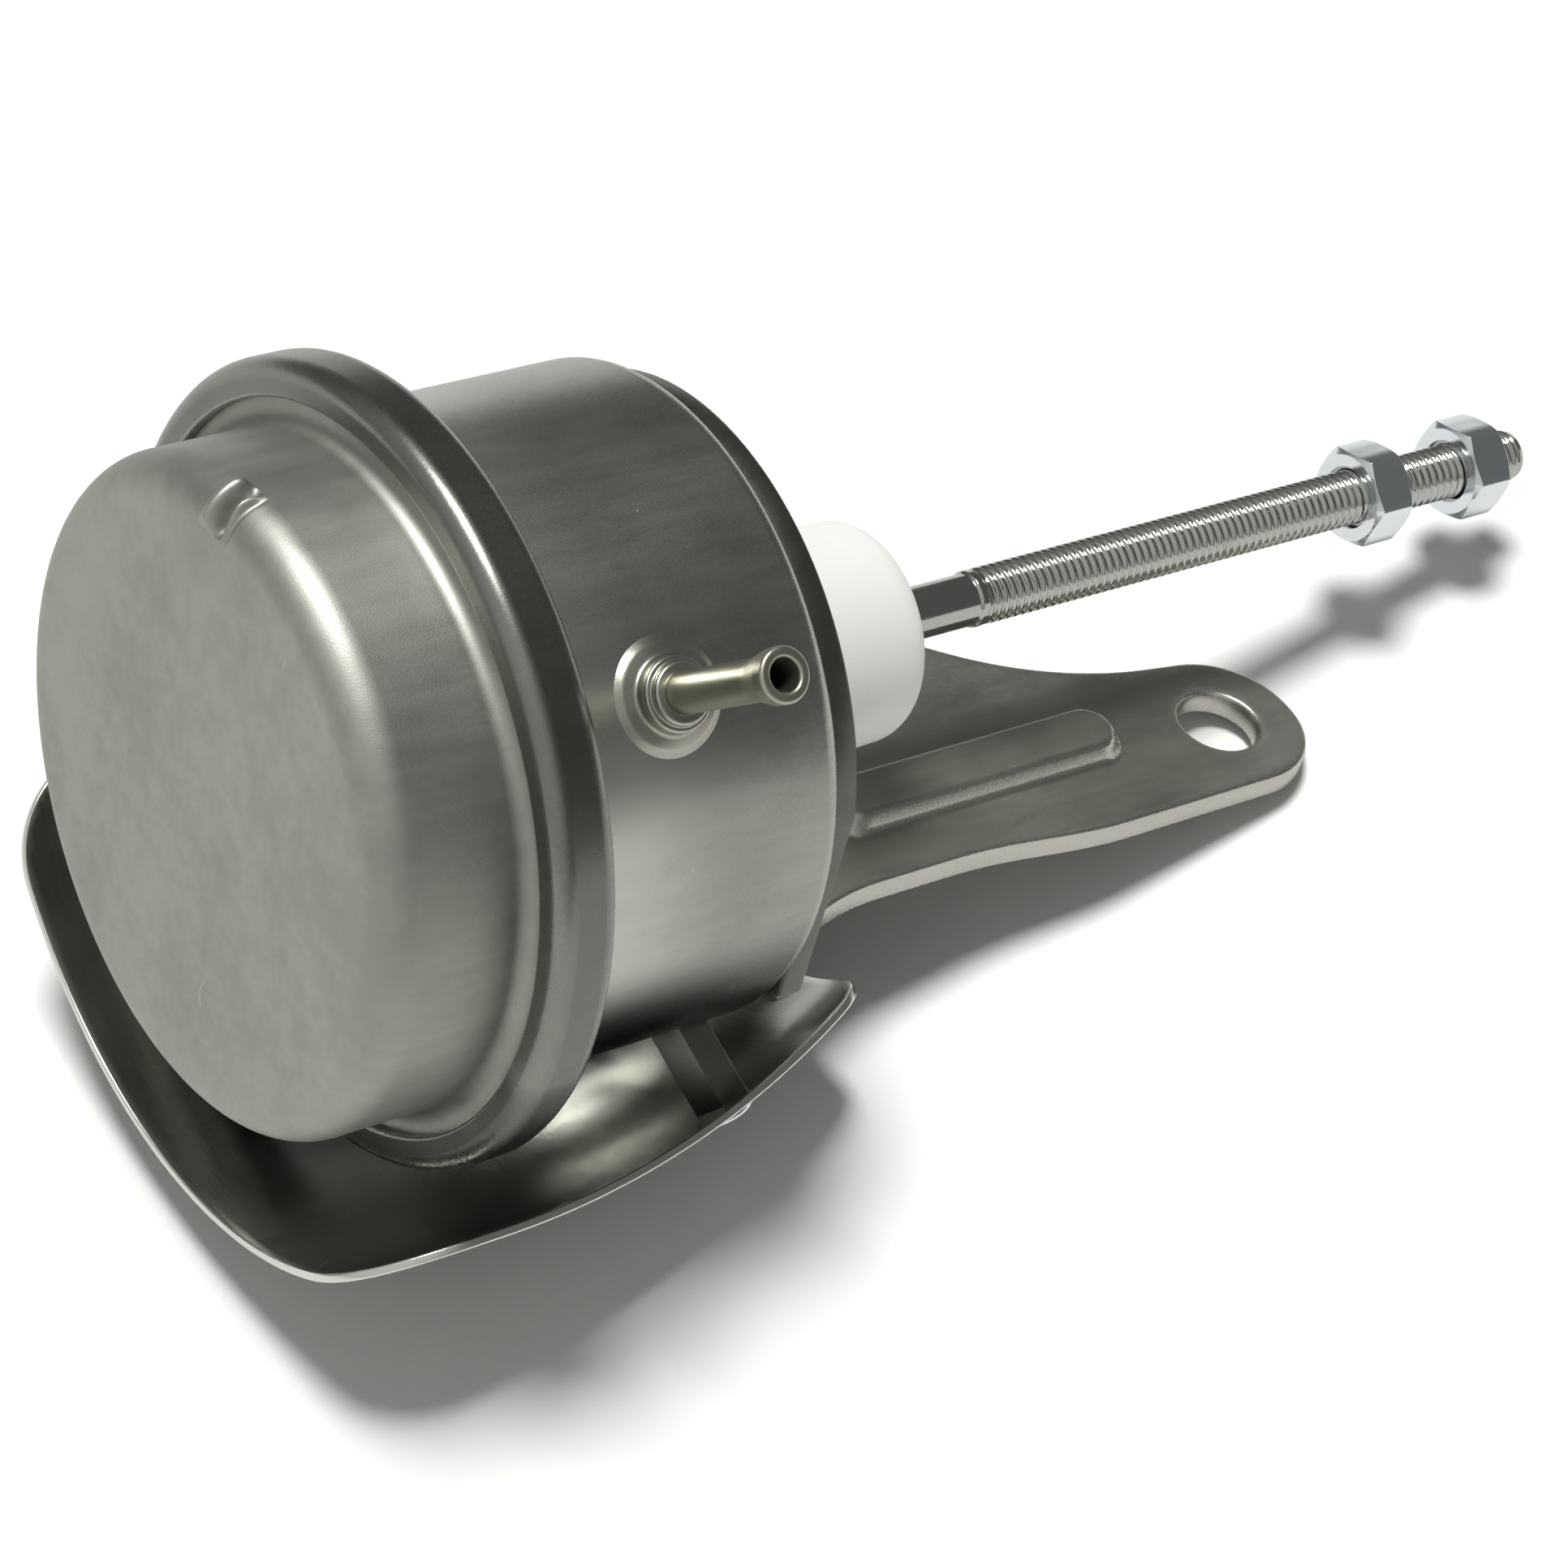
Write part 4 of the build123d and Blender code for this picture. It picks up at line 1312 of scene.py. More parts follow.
@dataclass
class Bracket:
    """The folded bracket with its pressed rib, and the studs that hold it."""

    sheet: float = 3.0
    plate_radius: float = 31.2
    plate_side: float = 30.2
    arm_drop: float = 17.3
    fold_inside: float = 2.5
    tip_place: float = 72.7
    tip_offset: float = 10.7
    tip_radius: float = 9.5
    bolt_hole: float = 9.0
    neck_hole: float = 8.9
    rib_start: float = 21.0
    rib_end: float = 59.5
    rib_offset: float = 8.2
    rib_width: float = 7.6
    rib_height: float = 2.2
    rib_foot: float = 0.35
    rib_slope: float = 1.5
    groove_half: float = 1.9
    rib_thinning: float = 0.2
    plate_corner: float = 0.6
    waist_side: float = 18.2
    waist: Pair = (14.2, 36.0)
    near_flare: float = 50.0
    far_flare: float = 58.6
    far_run: float = 14.1
    far_shoulder: float = 27.3
    far_slope: float = 0.16
    outline_bends: tuple[float, ...] = (3.0, 25.0, 60.0, 60.0, 9.49, 9.49, 45.0, 15.0)
    # Strength of the shade painted on the plate's edges.
    plate_edge_shade: float = 0.9
    # A highlight painted on the rib's near flank: strength, half width and inset.
    flank_highlight: float = 2.4
    flank_highlight_half: float = 1.0
    flank_highlight_inset: float = 0.4
    stud_core: float = 2.04
    stud_point: float = 1.7
    stud_pitch: float = 0.8
    stud_radius: float = 2.5
    stud_spread: float = 20.0
    stud_drop: float = 6.0
    stud_spare: float = 2.5
    nut_flats: float = 8.0
    nut_height: float = 4.0
    washer: float = 1.0
    washer_radius: float = 5.0

    @property
    def fold_outside(self) -> float:
        """Outer radius of the fold."""
        return self.fold_inside + self.sheet

    @property
    def fold_height(self) -> float:
        """Height at which the fold starts, below the axis."""
        return -(self.arm_drop + self.sheet - self.fold_outside)

    @property
    def fold_length(self) -> float:
        """Length of the fold along its outer face."""
        return self.fold_outside * math.pi / 2

    def flat(self, place: float) -> float:
        """Place along the arm, on the flat blank."""
        return place - self.fold_outside + self.fold_length

    def outline(self) -> list[Pair]:
        """Outline of the flat blank: along it from the fold, and across it."""
        slope = self.far_slope
        far = self.tip_offset - self.tip_radius * math.hypot(1, slope)
        front = self.flat(self.tip_place + self.tip_radius)
        near_tip = -self.tip_offset - self.tip_radius
        corners = [
            (self.plate_corner, -self.plate_side), (self.flat(self.waist[0]), -self.waist_side),
            (self.flat(self.waist[1]), -self.waist_side), (self.flat(self.near_flare), near_tip), (front, near_tip),
            (front, -far - slope * self.tip_radius), (self.flat(self.far_flare), -far + slope * self.far_run),
            (self.flat(self.far_shoulder), self.plate_side),
        ]
        radius = self.plate_radius
        turn = math.acos(self.plate_side / radius)
        turns = [turn + (math.pi - 2 * turn) * step / 90 for step in range(91)]
        arc = [(self.fold_height - radius * math.sin(angle), radius * math.cos(angle)) for angle in turns]
        line = rounded(corners + arc, [*self.outline_bends, *[0.0] * len(arc)], 14, 0.0, 0.3)
        return self.even([(x, y) for x, y, _ in line], OUTLINE_STEP)

    @staticmethod
    def even(line: Sequence[Pair], pitch: float) -> list[Pair]:
        """The closed line with even steps near a pitch."""
        points = np.array([*line, line[0]])
        run = np.concatenate(([0.0], np.cumsum(np.linalg.norm(np.diff(points, axis=0), axis=1))))
        at = np.linspace(0.0, run[-1], int(run[-1] / pitch) + 1)[:-1]
        return [(float(np.interp(a, run, points[:, 0])), float(np.interp(a, run, points[:, 1]))) for a in at]

    def rib_gap(self, along: np.ndarray, across: np.ndarray) -> np.ndarray:
        """Distance from the rib's spine on the flat blank."""
        half = self.rib_width / 2
        start, end = self.flat(self.rib_start + half), self.flat(self.rib_end - half)
        return np.hypot(along - np.clip(along, start, end), across + self.rib_offset)

    def bent(self, flat: np.ndarray, height: np.ndarray) -> np.ndarray:
        """Places in the frame of points on the flat blank."""
        along, across = flat[:, 0], flat[:, 1]
        turn = np.clip(along / self.fold_outside, 0.0, math.pi / 2)
        reach = self.fold_outside - height
        x = self.fold_outside - reach * np.cos(turn) + np.maximum(along - self.fold_length, 0.0)
        z = self.fold_height - reach * np.sin(turn) - np.minimum(along, 0.0)
        gap = self.rib_gap(along, across)
        half = self.rib_width / 2
        top = np.clip((half + self.rib_foot - gap) / self.rib_slope, 0.0, 1.0)
        under = np.clip((self.groove_half - gap) / self.rib_slope, 0.0, 1.0)
        raised = np.where(height > self.sheet / 2, self.rib_height * top * top * (3 - 2 * top),
                          (self.rib_height - self.rib_thinning) * under * under * (3 - 2 * under))
        return np.stack((x, across, z + raised), axis=1)

    def blank(self) -> Blank:
        """The flat blank with its holes."""
        centre = self.fold_height
        holes = [Hole((centre, 0.0), self.neck_hole),
                 Hole((self.flat(self.tip_place), -self.tip_offset), self.bolt_hole / 2),
                 *(Hole((centre + self.stud_drop, side * self.stud_spread), self.stud_radius + 0.3)
                   for side in (-1, 1))]

        def fine(points: np.ndarray) -> np.ndarray:
            """Where the sheet bends or the rib rises."""
            in_rib = self.rib_gap(points[:, 0], points[:, 1]) < self.rib_width / 2 + 1.0
            return in_rib | ((points[:, 0] > -1.0) & (points[:, 0] < self.fold_length + 1.0))

        return Blank(self.outline(), holes, self.sheet, 0.45, 0.9, fine)

    def stud(self, shop: Workshop) -> Form:
        """One welded stud with its thread."""
        end = self.sheet + self.washer + self.nut_height + self.stud_spare
        core = [(0.0, 0.0), (0.0, self.stud_radius), (self.sheet, self.stud_radius),
                (self.sheet + 0.5, self.stud_core), (end - 0.5, self.stud_core), (end, self.stud_point), (end, 0.0)]
        form = turned(rounded(core, [0, 0.1, 0.1, 0.1, 0.1, 0.1, 0], 3), 48)
        root = self.stud_core + 0.01
        return form.joined(shop.threaded(self.sheet + 0.2, end - 0.3, self.stud_pitch, root, self.stud_radius, 32))

    def worn(self, sheet: Form) -> Form:
        """Paint shade on the plate's edges and a highlight on the rib's near flank.

        Args:
            sheet: The folded sheet, whose edge values are changed in place to hold the painted shade and highlight.

        Returns:
            The same form.
        """
        # Shade painted on the plate's edges as edge values below 0.
        on_plate = (sheet.points[:, 0] < self.sheet + 0.3) & (sheet.points[:, 2] > self.fold_height)
        sheet.wear[on_plate] *= -self.plate_edge_shade
        x, y, z = sheet.points.T
        half = self.rib_width / 2
        spine = np.clip(x, self.rib_start + half, self.rib_end - half)
        beside = np.abs(np.hypot(x - spine, y + self.rib_offset) - half + self.flank_highlight_inset) < self.flank_highlight_half
        above = (z > -self.arm_drop + 0.15) & (z < -self.arm_drop + self.rib_height - 0.1)
        # Highlight painted on the rib's near flank as a high edge value.
        sheet.wear[beside & above & (y < -self.rib_offset - 1.0)] = self.flank_highlight
        return sheet

    def dress(self, shop: Workshop) -> None:
        """Build and finish the bracket's pieces."""
        sheet = self.worn(self.blank().form(self.bent))
        shop.piece(sheet, "bracket_folded_sheet", Look.BRACKET, "housing", "bracket")
        low = Matrix.Translation((0, 0, -self.stud_drop))
        across = (-self.stud_spread, 2 * self.stud_spread)
        studs = shop.copies(self.stud(shop).moved(low), Look.INNER, shifts=across)
        shop.piece(studs, "bracket_weld_studs", Look.INNER, "housing", "bracket_studs")
        bore, top = self.stud_radius + 0.2, self.sheet + self.washer
        ring = [(self.sheet, bore), (self.sheet, self.washer_radius), (top, self.washer_radius), (top, bore)]
        washer = turned(rounded(ring, [0.1, 0.2, 0.2, 0.1], 3), 64)
        nut = Nut(self.nut_flats, self.nut_height, self.stud_radius + 0.03, 0.14).form(top, 30.0)
        for form, name, node in ((washer, "bracket_flat_washers", "bracket_washers"),
                                 (nut, "bracket_hex_nuts", "bracket_nuts")):
            shop.piece(shop.copies(form.moved(low), Look.ZINC, shifts=across), name, Look.ZINC, "housing", node)


@dataclass
class Rod:
    """The sliding rod with its thread, its two adjusting nuts and the boot it comes out of."""

    shank: float = 2.75
    crest: float = 3.0
    root: float = 2.66
    pitch: float = 1.0
    thread_start: float = 40.3
    end: float = 117.1
    chamfer: float = 1.0
    flange_front: float = -42.1
    flange_radius: float = 8.0
    flange_depth: float = 1.5
    rivet_gap: float = 2.8
    rivet_height: float = 1.2
    rivet_radius: float = 3.4
    rivet_neck: float = 2.3
    core_gap: float = 0.02
    nut_flats: float = 10.0
    nut_height: float = 5.0
    inner_nut: float = 93.1
    outer_nut: float = 107.7
    nut_turn: float = 42.0
    boot_start: float = 3.0
    boot_length: float = 25.0
    boot_base_radius: float = 13.6
    boot_base: float = 2.6
    boot_root_radius: float = 12.2
    boot_end_radius: float = 11.3
    boot_rim: float = 3.4
    boot_inside: float = 8.3
    boot_floor: float = 3.2

    def rod(self, shop: Workshop) -> Form:
        """The rod with its rivet, flange, shank, shoulder, thread and chamfered end."""
        front, shoulder = self.flange_front, self.thread_start
        seat = front - self.rivet_gap
        tail = seat - self.rivet_height
        crest, root = self.crest - self.core_gap, self.root - self.core_gap
        core = [
            (tail, 0.0), (tail, self.rivet_radius), (seat, self.rivet_radius), (seat, self.rivet_neck),
            (front, self.rivet_neck), (front, self.flange_radius), (front + self.flange_depth, self.flange_radius),
            (front + self.flange_depth, self.shank), (shoulder, self.shank), (shoulder + 0.3, crest),
            (shoulder + 1.0, crest), (shoulder + 1.5, root), (self.end - 0.55, root),
            (self.end, self.crest - self.chamfer), (self.end, 0.0),
        ]
        radii = [0, 0.6, 0, 0, 0, 0.2, 0.2, 0.1, 0.15, 0.12, 0.12, 0.1, 0.12, 0.15, 0]
        form = turned(rounded(core, radii, 5, 4.0), 64)
        return form.joined(shop.threaded(shoulder + 0.7, self.end - 0.1, self.pitch, self.root, self.crest, 40))

    def boot(self) -> Form:
        """The moulded guide cover behind the can."""
        start, end = self.boot_start, self.boot_start + self.boot_length
        step = start + self.boot_base
        bore = self.shank + 0.3
        corners = [
            (start, self.boot_inside), (start, self.boot_base_radius), (step, self.boot_base_radius),
            (step, self.boot_root_radius), (end, self.boot_end_radius), (end, bore), (end - self.boot_floor, bore),
            (end - self.boot_floor, self.boot_inside),
        ]
        return turned(rounded(corners, [0.1, 0.4, 1.0, 0.5, self.boot_rim, 0.4, 0.1, 1.0], 12, 1.2), 192)

    def dress(self, shop: Workshop) -> None:
        """Build and finish the rod's pieces."""
        shop.piece(self.boot(), "rod_boot_moulded", Look.SILICONE, "housing", "rod_boot")
        shop.piece(self.rod(shop), "actuator_rod_threaded", Look.ROD, "rod", "actuator_rod")
        nut = Nut(self.nut_flats, self.nut_height, self.crest + 0.03)
        for place, name in ((self.inner_nut, "inner_nut"), (self.outer_nut, "outer_nut")):
            shop.piece(nut.form(place, self.nut_turn), f"{name}_hex", Look.ZINC, f"{name}_body", name)


@dataclass
class Shield:
    """The curved heat shield with the posts and screws that hold it."""

    sheet: float = 0.9
    radius: float = 45.8
    edge: float = -47.55
    joint: float = -32.75
    rear: float = 15.0
    curve: float = 98.0
    half_angle: float = 53.0
    front_corner: float = 12.0
    rear_corner: float = 5.0
    screw_place: float = -2.8
    screw_angle: float = 46.0
    screw_radius: float = 1.5
    screw_depth: float = 4.5
    head_radius: float = 2.75
    head_height: float = 0.9
    head_bend: float = 0.4
    socket_flats: float = 2.0
    socket_depth: float = 0.6

    def reach(self, place: float) -> float:
        """Radius of the inner face at a place along the rod's axis."""
        along = max(place - self.joint, 0.0)
        return self.radius - self.curve + math.sqrt(self.curve ** 2 - along ** 2)

    def flat(self, place: float) -> float:
        """Place on the flat blank, from its front edge."""
        along = max(place - self.joint, 0.0)
        return min(place, self.joint) - self.edge + self.curve * math.asin(along / self.curve)

    def outline(self) -> list[Pair]:
        """Outline of the flat blank: along it from the front edge, and across it."""
        half = math.radians(self.half_angle) * self.radius
        end = self.flat(self.rear)
        line: list[Pair] = []
        for at, inwards, side, along in ((0.0, 1, -1, self.front_corner), (end, -1, -1, self.rear_corner),
                                         (end, -1, 1, self.rear_corner), (0.0, 1, 1, self.front_corner)):
            across = along * (self.radius / self.reach(self.rear) if inwards < 0 else 1.0)
            turns = [math.radians(90 * step / 16) for step in range(17)]
            arc = [(at + inwards * along * (1 - math.cos(turn)), side * (half - across * (1 - math.sin(turn))))
                   for turn in turns]
            line += arc if inwards * side < 0 else arc[::-1]
        return Bracket.even(line, OUTLINE_STEP)

    def bent(self, flat: np.ndarray, height: np.ndarray) -> np.ndarray:
        """Places in the frame of points on the flat blank."""
        straight = self.joint - self.edge
        turn = np.maximum(flat[:, 0] - straight, 0.0) / self.curve
        angle = flat[:, 1] / self.radius
        x = self.edge + np.minimum(flat[:, 0], straight) + (self.curve + height) * np.sin(turn)
        out = self.radius - self.curve + (self.curve + height) * np.cos(turn)
        return np.stack((x, out * np.sin(angle), -out * np.cos(angle)), axis=1)

    def seat(self) -> Matrix:
        """Matrix that carries the X axis to a screw's axis, straight below the can."""
        tilt = math.asin((self.screw_place - self.joint) / self.curve)
        sine, cosine = math.sin(tilt), math.cos(tilt)
        low = -self.reach(self.screw_place)
        return Matrix(((sine, 0, cosine, self.screw_place), (0, 1, 0, 0), (-cosine, 0, sine, low), (0, 0, 0, 1)))

    def screw(self) -> Form:
        """One low-headed screw with a hexagon socket."""
        seat = self.sheet + 0.05
        top = seat + self.head_height
        columns = []
        angles = hexagon_angles(5)
        for angle in angles:
            key = hexagon_reach(self.socket_flats, angle, 0.03)
            corners = [
                (-self.screw_depth, 0.0), (-self.screw_depth, self.screw_radius), (seat, self.screw_radius),
                (seat, self.head_radius), (top, self.head_radius), (top, key), (top - self.socket_depth, key),
                (top - self.socket_depth, 0.0),
            ]
            columns.append(rounded(corners, [0, 0.2, 0.1, 0.15, self.head_bend, 0.08, 0.04, 0], 4, 0.0, 0.05))
        return turned_by(columns, angles).moved(self.seat())

    def dress(self, shop: Workshop) -> None:
        """Build and finish the shield's pieces."""
        across = math.radians(self.screw_angle) * self.radius
        holes = [Hole((self.flat(self.screw_place), side * across), self.screw_radius + 0.35) for side in (-1, 1)]
        blank = Blank(self.outline(), holes, self.sheet, 0.22, 0.8)
        shop.piece(blank.form(self.bent), "heat_shield_curved", Look.SHIELD, "housing", "heat_shield")
        shop.piece(shop.softened("shield_spacers", 0.22), "shield_hex_posts", Look.POST, "housing", "shield_spacers")
        turns = (-self.screw_angle, 2 * self.screw_angle)
        shop.piece(shop.copies(self.screw(), Look.ZINC, turns=turns), "shield_low_screws", Look.ZINC, "housing",
                   "shield_screws")


class Coil(NodeTree):
    """A wire coil along the rod's axis."""

    def __init__(self) -> None:
        """Build the tree that sweeps the wire along its helix."""
        super().__init__("wire coil", ("Start", "Length", "Turns", "Radius", "Wire"))
        given = self.given
        values = {"Resolution": 48, "Rotations": given["Turns"], "Start Radius": given["Radius"],
                  "End Radius": given["Radius"], "Height": given["Length"]}
        helix = self.node("GeometryNodeCurveSpiral", {}, values)
        values = {"Geometry": helix.outputs[0], "Translation": self.joined(given["Start"], 0.0, 0.0),
                  "Rotation": (0.0, math.pi / 2, 0.0)}
        laid = self.node("GeometryNodeTransform", {}, values)
        ring = self.node("GeometryNodeCurvePrimitiveCircle", {}, {"Resolution": 20, "Radius": given["Wire"]})
        values = {"Curve": laid.outputs[0], "Profile Curve": ring.outputs[0], "Fill Caps": True}
        self.close(self.node("GeometryNodeCurveToMesh", {}, values).outputs[0])


@dataclass
class Works:
    """What moves and seals inside the can: diaphragm, piston, spring, bush, stop and seal."""

    bead: tuple[float, ...] = (-33.8, -30.7, 34.2, 37.7)
    bead_bend: float = 0.8
    skin_place: float = -31.85
    skin_edge: float = 35.0
    skin: float = 0.8
    skin_bends: tuple[float, ...] = (1.45, 2.9, 2.9, 2.8)
    wall: float = 31.4
    roll: float = -23.7
    roll_inside: float = 25.4
    cup_face: float = -43.1
    cup_radius: float = 25.1
    cup_depth: float = 15.1
    cup_bend: float = 2.5
    plate_radius: float = 21.5
    plate_rim: float = 2.5
    plate_bend: float = 1.6
    bore: float = 2.35
    can_inside: float = -1.2
    seat_rim: float = -5.2
    seat_radii: Pair = (22.4, 10.3)
    coil_start: float = -40.85
    coil_length: float = 37.6
    coil_turns: float = 6.0
    coil_radius: float = 19.0
    wire: float = 1.2
    bush_front: float = -27.5
    bush_radius: float = 6.0
    bush_flange: float = -2.7
    bush_flange_radius: float = 10.0
    bush_end: float = 9.0
    stop: tuple[float, ...] = (-28.2, -22.2, 6.02, 9.0)
    seal_end: float = 12.5
    seal_lip: float = 11.5
    seal_inside: float = 4.0
    disc: tuple[float, ...] = (12.5, 13.5, 4.5, 6.78)
    neck_inside: float = 6.78
    shank: float = 2.8

    def sheet(self, path: Sequence[Pair], bends: Sequence[float], thickness: float = 1.0) -> Form:
        """A turned piece of bent sheet."""
        return turned(rounded(*sheet_line(path, bends, thickness, 0.15), 6, 3.0), 128)

    def block(self, corners: Sequence[Pair], bend: float) -> Form:
        """A turned solid ring with slightly rounded edges."""
        return turned(rounded(corners, [bend] * len(corners), 4, 3.0), 96)

    def ring(self, sizes: Sequence[float], bend: float) -> Form:
        """A plain ring from its front, rear, inner radius and outer radius."""
        front, rear, low, high = sizes
        return self.block([(front, low), (front, high), (rear, high), (rear, low)], bend)

    def diaphragm(self) -> Form:
        """The rolling diaphragm with its bead."""
        place, face, roll = self.skin_place, self.cup_face, self.roll
        path = [(place, self.skin_edge), (place, self.wall), (roll, self.wall), (roll, self.roll_inside),
                (face, self.roll_inside), (face, self.bore)]
        return self.sheet(path, self.skin_bends, self.skin).joined(self.ring(self.bead, self.bead_bend))

    def spring(self, shop: Workshop) -> bpy.types.Mesh:
        """The return spring by the coil tree."""
        values = {"Start": self.coil_start * MM, "Length": self.coil_length * MM, "Turns": self.coil_turns,
                  "Radius": self.coil_radius * MM, "Wire": self.wire * MM,
                  "Material": shop.material(Look.SPRING)}
        return smoothed(Coil().grown(bpy.data.meshes.new("coil seed"), values))

    def bush(self) -> Form:
        """The flanged bush that guides the rod."""
        corners = [
            (self.bush_front, self.shank), (self.bush_front, self.bush_radius), (self.bush_flange, self.bush_radius),
            (self.bush_flange, self.bush_flange_radius), (self.can_inside, self.bush_flange_radius),
            (self.can_inside, self.neck_inside), (self.bush_end, self.neck_inside), (self.bush_end, self.shank),
        ]
        return self.block(corners, 0.2)

    def seal(self) -> Form:
        """The rod's seal with its lip."""
        start, end = self.bush_end, self.seal_end
        return self.block([(start, self.seal_inside), (start, self.neck_inside), (end, self.neck_inside),
                           (end, self.shank), (self.seal_lip, self.shank)], 0.15)

    def dress(self, shop: Workshop) -> None:
        """Build and finish the inner pieces."""
        skin = shop.piece(self.diaphragm(), "rolling_diaphragm", Look.RUBBER, "housing", "diaphragm")
        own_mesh(skin)
        spring = shop.piece(self.spring(shop), "return_spring_coil", Look.SPRING, "housing", "return_spring")
        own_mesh(spring)
        face, bore, radius = self.cup_face, self.bore, self.cup_radius
        cup = self.sheet([(face, bore), (face, radius), (face + self.cup_depth, radius)], [self.cup_bend])
        seat, radius = face - self.skin, self.plate_radius
        plate = self.sheet([(seat - self.plate_rim, radius), (seat, radius), (seat, bore)], [self.plate_bend])
        wide, narrow = self.seat_radii
        rest = self.sheet([(self.seat_rim, wide), (self.can_inside, wide), (self.can_inside, narrow)], [1.2], 0.8)
        for row in (
            (cup, "piston_cup_pressed", Look.INNER, "rod", "piston_cup"),
            (plate, "diaphragm_retainer_plate", Look.INNER, "rod", "diaphragm_retainer"),
            (rest, "spring_seat_ring", Look.INNER, "housing", "spring_seat"),
            (self.bush(), "rod_bush_flanged", Look.BRONZE, "housing", "rod_bush"),
            (self.ring(self.stop, 0.8), "bump_stop_ring", Look.RUBBER, "housing", "bump_stop"),
            (self.seal(), "rod_seal_lip", Look.RUBBER, "housing", "rod_seal"),
            (self.ring(self.disc, 0.15), "seal_retainer_disc", Look.INNER, "housing", "seal_retainer"),
        ):
            shop.piece(*row)


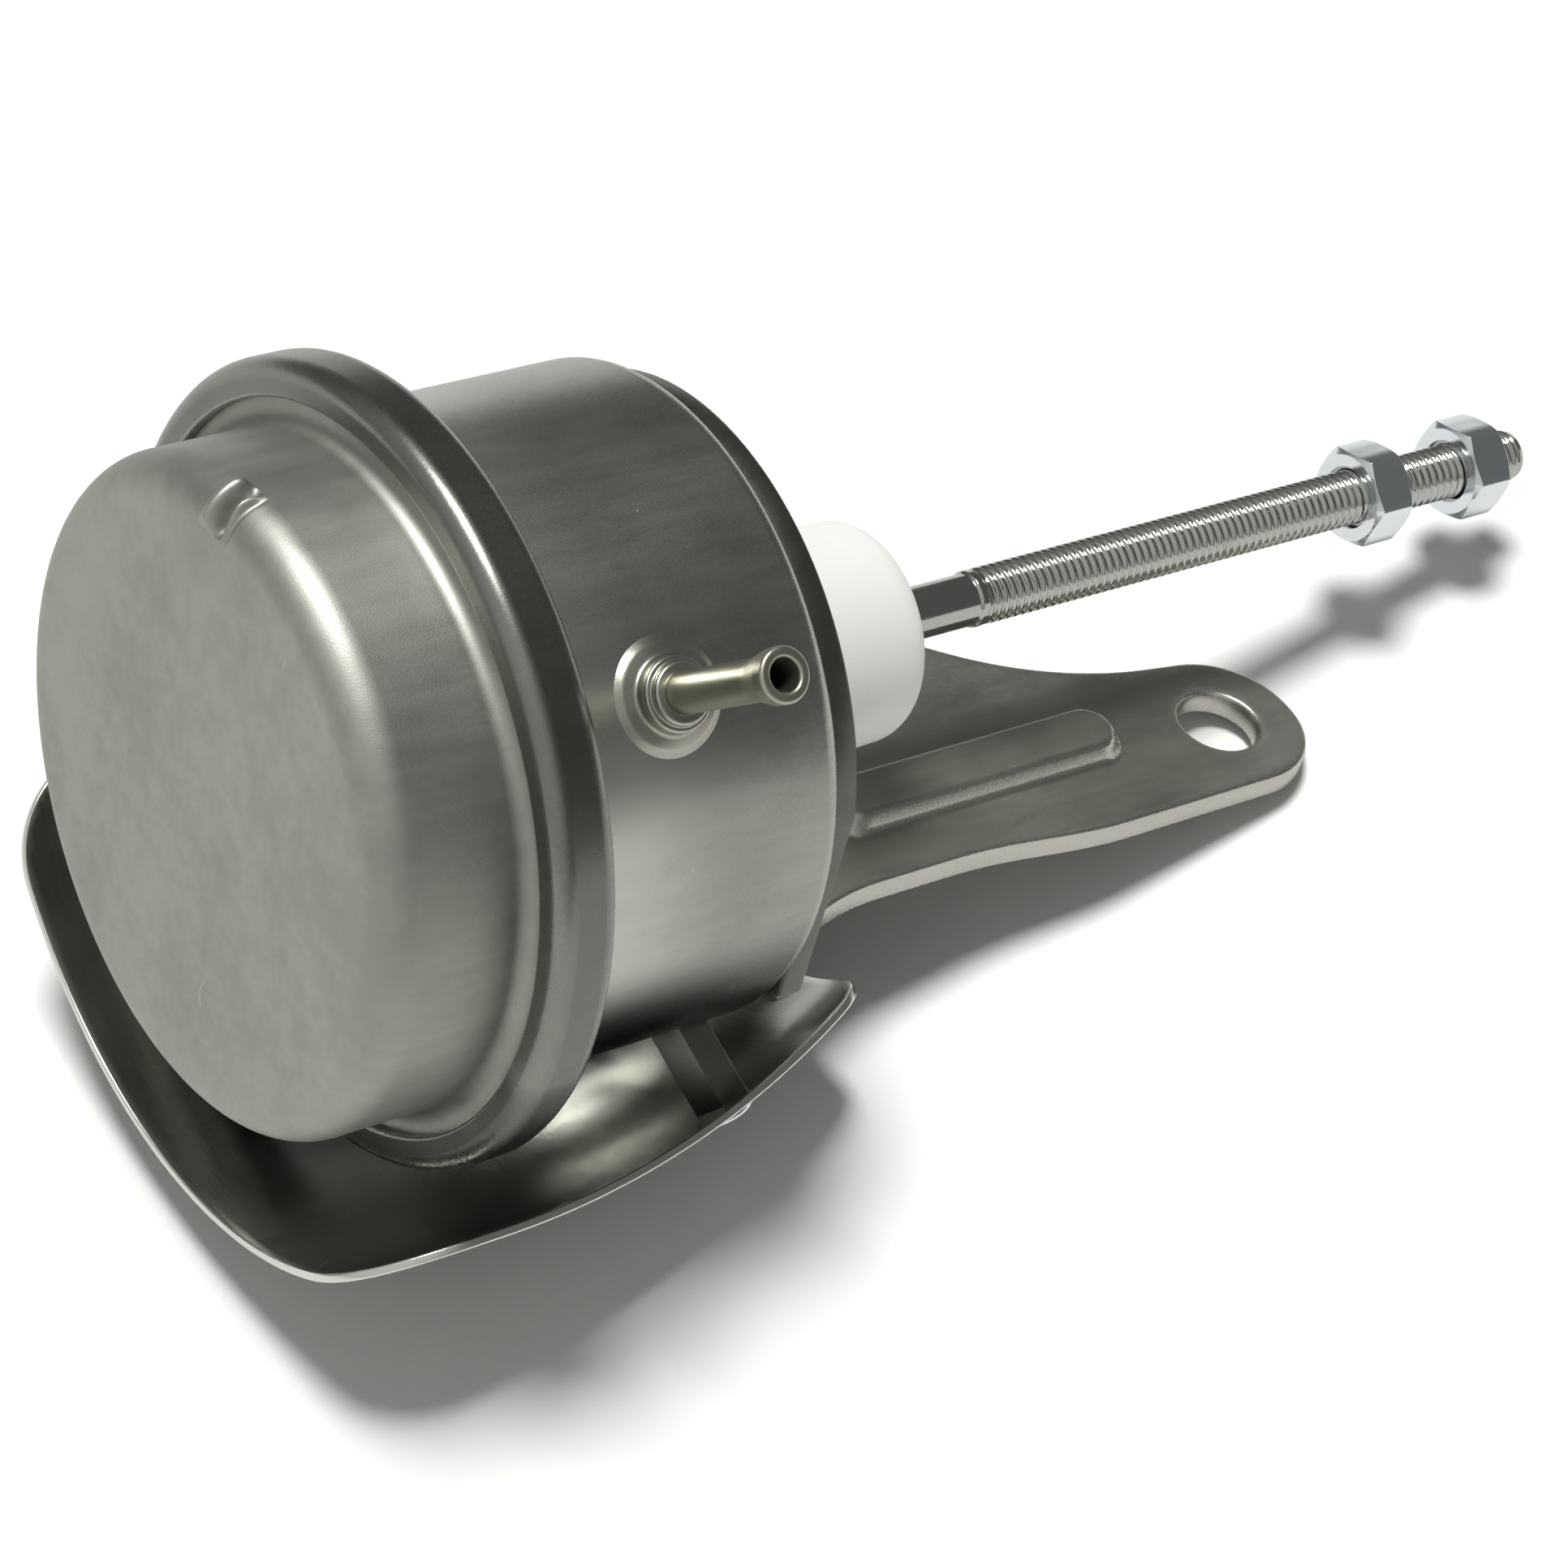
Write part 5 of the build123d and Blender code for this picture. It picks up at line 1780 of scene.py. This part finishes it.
@dataclass
class Studio:
    """Camera, floor, lamp and the soft room round the object."""

    eye: Triple = (-0.2518, -0.2717, 0.3003)
    ahead: Triple = (0.547, 0.541, -0.638)
    right: Triple = (0.804, -0.551, 0.223)
    lens: float = 111.8
    floor_normal: Triple = (-0.2497, 0.0, 0.9683)
    floor_drop: float = -0.04022
    floor_size: float = 4.0
    lamp: Triple = (-0.20, 0.185, 0.96)
    lamp_spread: float = 0.32
    lamp_strength: float = 3.4
    floor_colour: Colour = (0.90, 0.90, 0.895)
    floor_mirrored: Colour = (0.68, 0.68, 0.67)
    floor_lift: float = 0.012
    lamp_colour: Colour = (1.0, 1.0, 0.985)
    sensor: float = 36.0
    clip: Pair = (0.01, 20.0)
    bright_side: Triple = (-0.80, -0.20, 0.45)
    bright_rise: Pair = (0.1, 0.95)
    room_strength: Pair = (0.135, 0.62)
    room_tint: tuple[float, ...] = (0.97, 1.0, 0.965, 1.0)
    fill_cut: float = 0.4

    def camera(self) -> None:
        """Set the camera where the photograph was taken."""
        data = bpy.data.cameras.new("camera")
        data.lens = self.lens
        data.sensor_width = self.sensor
        data.clip_start, data.clip_end = self.clip
        back = -Vector(self.ahead).normalized()
        side = Vector(self.right)
        side = (side - back * side.dot(back)).normalized()
        up = back.cross(side)
        turn = Matrix((side, up, back)).transposed().to_4x4()
        camera = linked("camera", data)
        camera.matrix_world = Matrix.Translation(self.eye) @ turn
        bpy.context.scene.camera = camera

    def floor(self) -> None:
        """Lay the pale floor that the shield and the arm's tip rest on."""
        normal = Vector(self.floor_normal).normalized()
        side = Vector((0.0, 1.0, 0.0))
        front = side.cross(normal)
        centre = normal * self.floor_drop
        half = self.floor_size / 2
        corners = [centre + front * half * a + side * half * b for a, b in ((-1, -1), (1, -1), (1, 1), (-1, 1))]
        mesh = bpy.data.meshes.new("floor")
        mesh.from_pydata(corners, [], [(0, 1, 2, 3)])
        if mesh.polygons[0].normal.dot(normal) < 0:
            mesh.flip_normals()
        paint = Paint("pale floor")
        path = paint.node("ShaderNodeLightPath", {}, {}).outputs
        seen = Level(paint, path["Is Camera Ray"])
        lift = paint.node("ShaderNodeEmission", {}, {0: WHITE, 1: seen * self.floor_lift})
        colour = paint.mixed(path["Is Glossy Ray"], self.floor_colour, self.floor_mirrored)
        plain = paint.node("ShaderNodeBsdfDiffuse", {}, {0: colour})
        both = paint.node("ShaderNodeAddShader", {}, {0: plain.outputs[0], 1: lift.outputs[0]})
        clear = paint.node("ShaderNodeBsdfTransparent", {}, {})
        under = paint.node("ShaderNodeNewGeometry", {}, {}).outputs["Backfacing"]
        shown = paint.node("ShaderNodeMixShader", {}, {0: under, 1: both.outputs[0], 2: clear.outputs[0]})
        paint.node("ShaderNodeOutputMaterial", {}, {"Surface": shown.outputs[0]})
        mesh.materials.append(paint.material)
        floor = linked("floor", mesh)

    def light(self) -> None:
        """Hang one broad lamp overhead."""
        data = bpy.data.lights.new("overhead lamp", "SUN")
        data.energy = self.lamp_strength
        data.angle = self.lamp_spread
        data.color = self.lamp_colour
        lamp = linked("overhead lamp", data)
        lamp.rotation_euler = Vector(self.lamp).to_track_quat("Z", "Y").to_euler()

    def room(self) -> None:
        """Make a plain grey room with one bright side, dim as fill light and white where the camera sees it."""
        world = bpy.data.worlds.new("soft room")
        world.use_nodes = True
        bpy.context.scene.world = world
        bench = Bench(world.node_tree)
        bench.tree.nodes.clear()
        look = bench.node("ShaderNodeTexCoord", {}, {}).outputs["Generated"]
        rays = bench.node("ShaderNodeLightPath", {}, {}).outputs
        facing = bench.node("ShaderNodeVectorMath", {"operation": "DOT_PRODUCT"}, {0: look, 1: self.bright_side})
        values = dict(enumerate((facing.outputs["Value"], *self.bright_rise, *self.room_strength)))
        strength = Level(bench, bench.node("ShaderNodeMapRange", SMOOTH, values).outputs[0])
        level = strength * bench.maths("MULTIPLY_ADD", rays["Is Diffuse Ray"], -self.fill_cut, 1.0)
        room = bench.node("ShaderNodeBackground", {}, {0: self.room_tint, 1: level})
        white = bench.node("ShaderNodeBackground", {}, {0: WHITE, 1: 1.0})
        values = {0: rays["Is Camera Ray"], 1: room.outputs[0], 2: white.outputs[0]}
        both = bench.node("ShaderNodeMixShader", {}, values)
        bench.node("ShaderNodeOutputWorld", {}, {"Surface": both.outputs[0]})

    def build(self) -> None:
        """Set the camera, the floor, the lamp and the room."""
        self.camera()
        self.floor()
        self.light()
        self.room()
        bpy.context.scene.view_settings.view_transform = "Standard"


def main() -> None:
    """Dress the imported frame, sub-assembly by sub-assembly."""
    logging.basicConfig(level=logging.INFO, format="%(message)s")
    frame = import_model()
    shop = Workshop(frame)
    for part in (Can(), Bracket(), Rod(), Shield(), Works()):
        part.dress(shop)
    Studio().build()


if __name__ == "__main__":
    main()
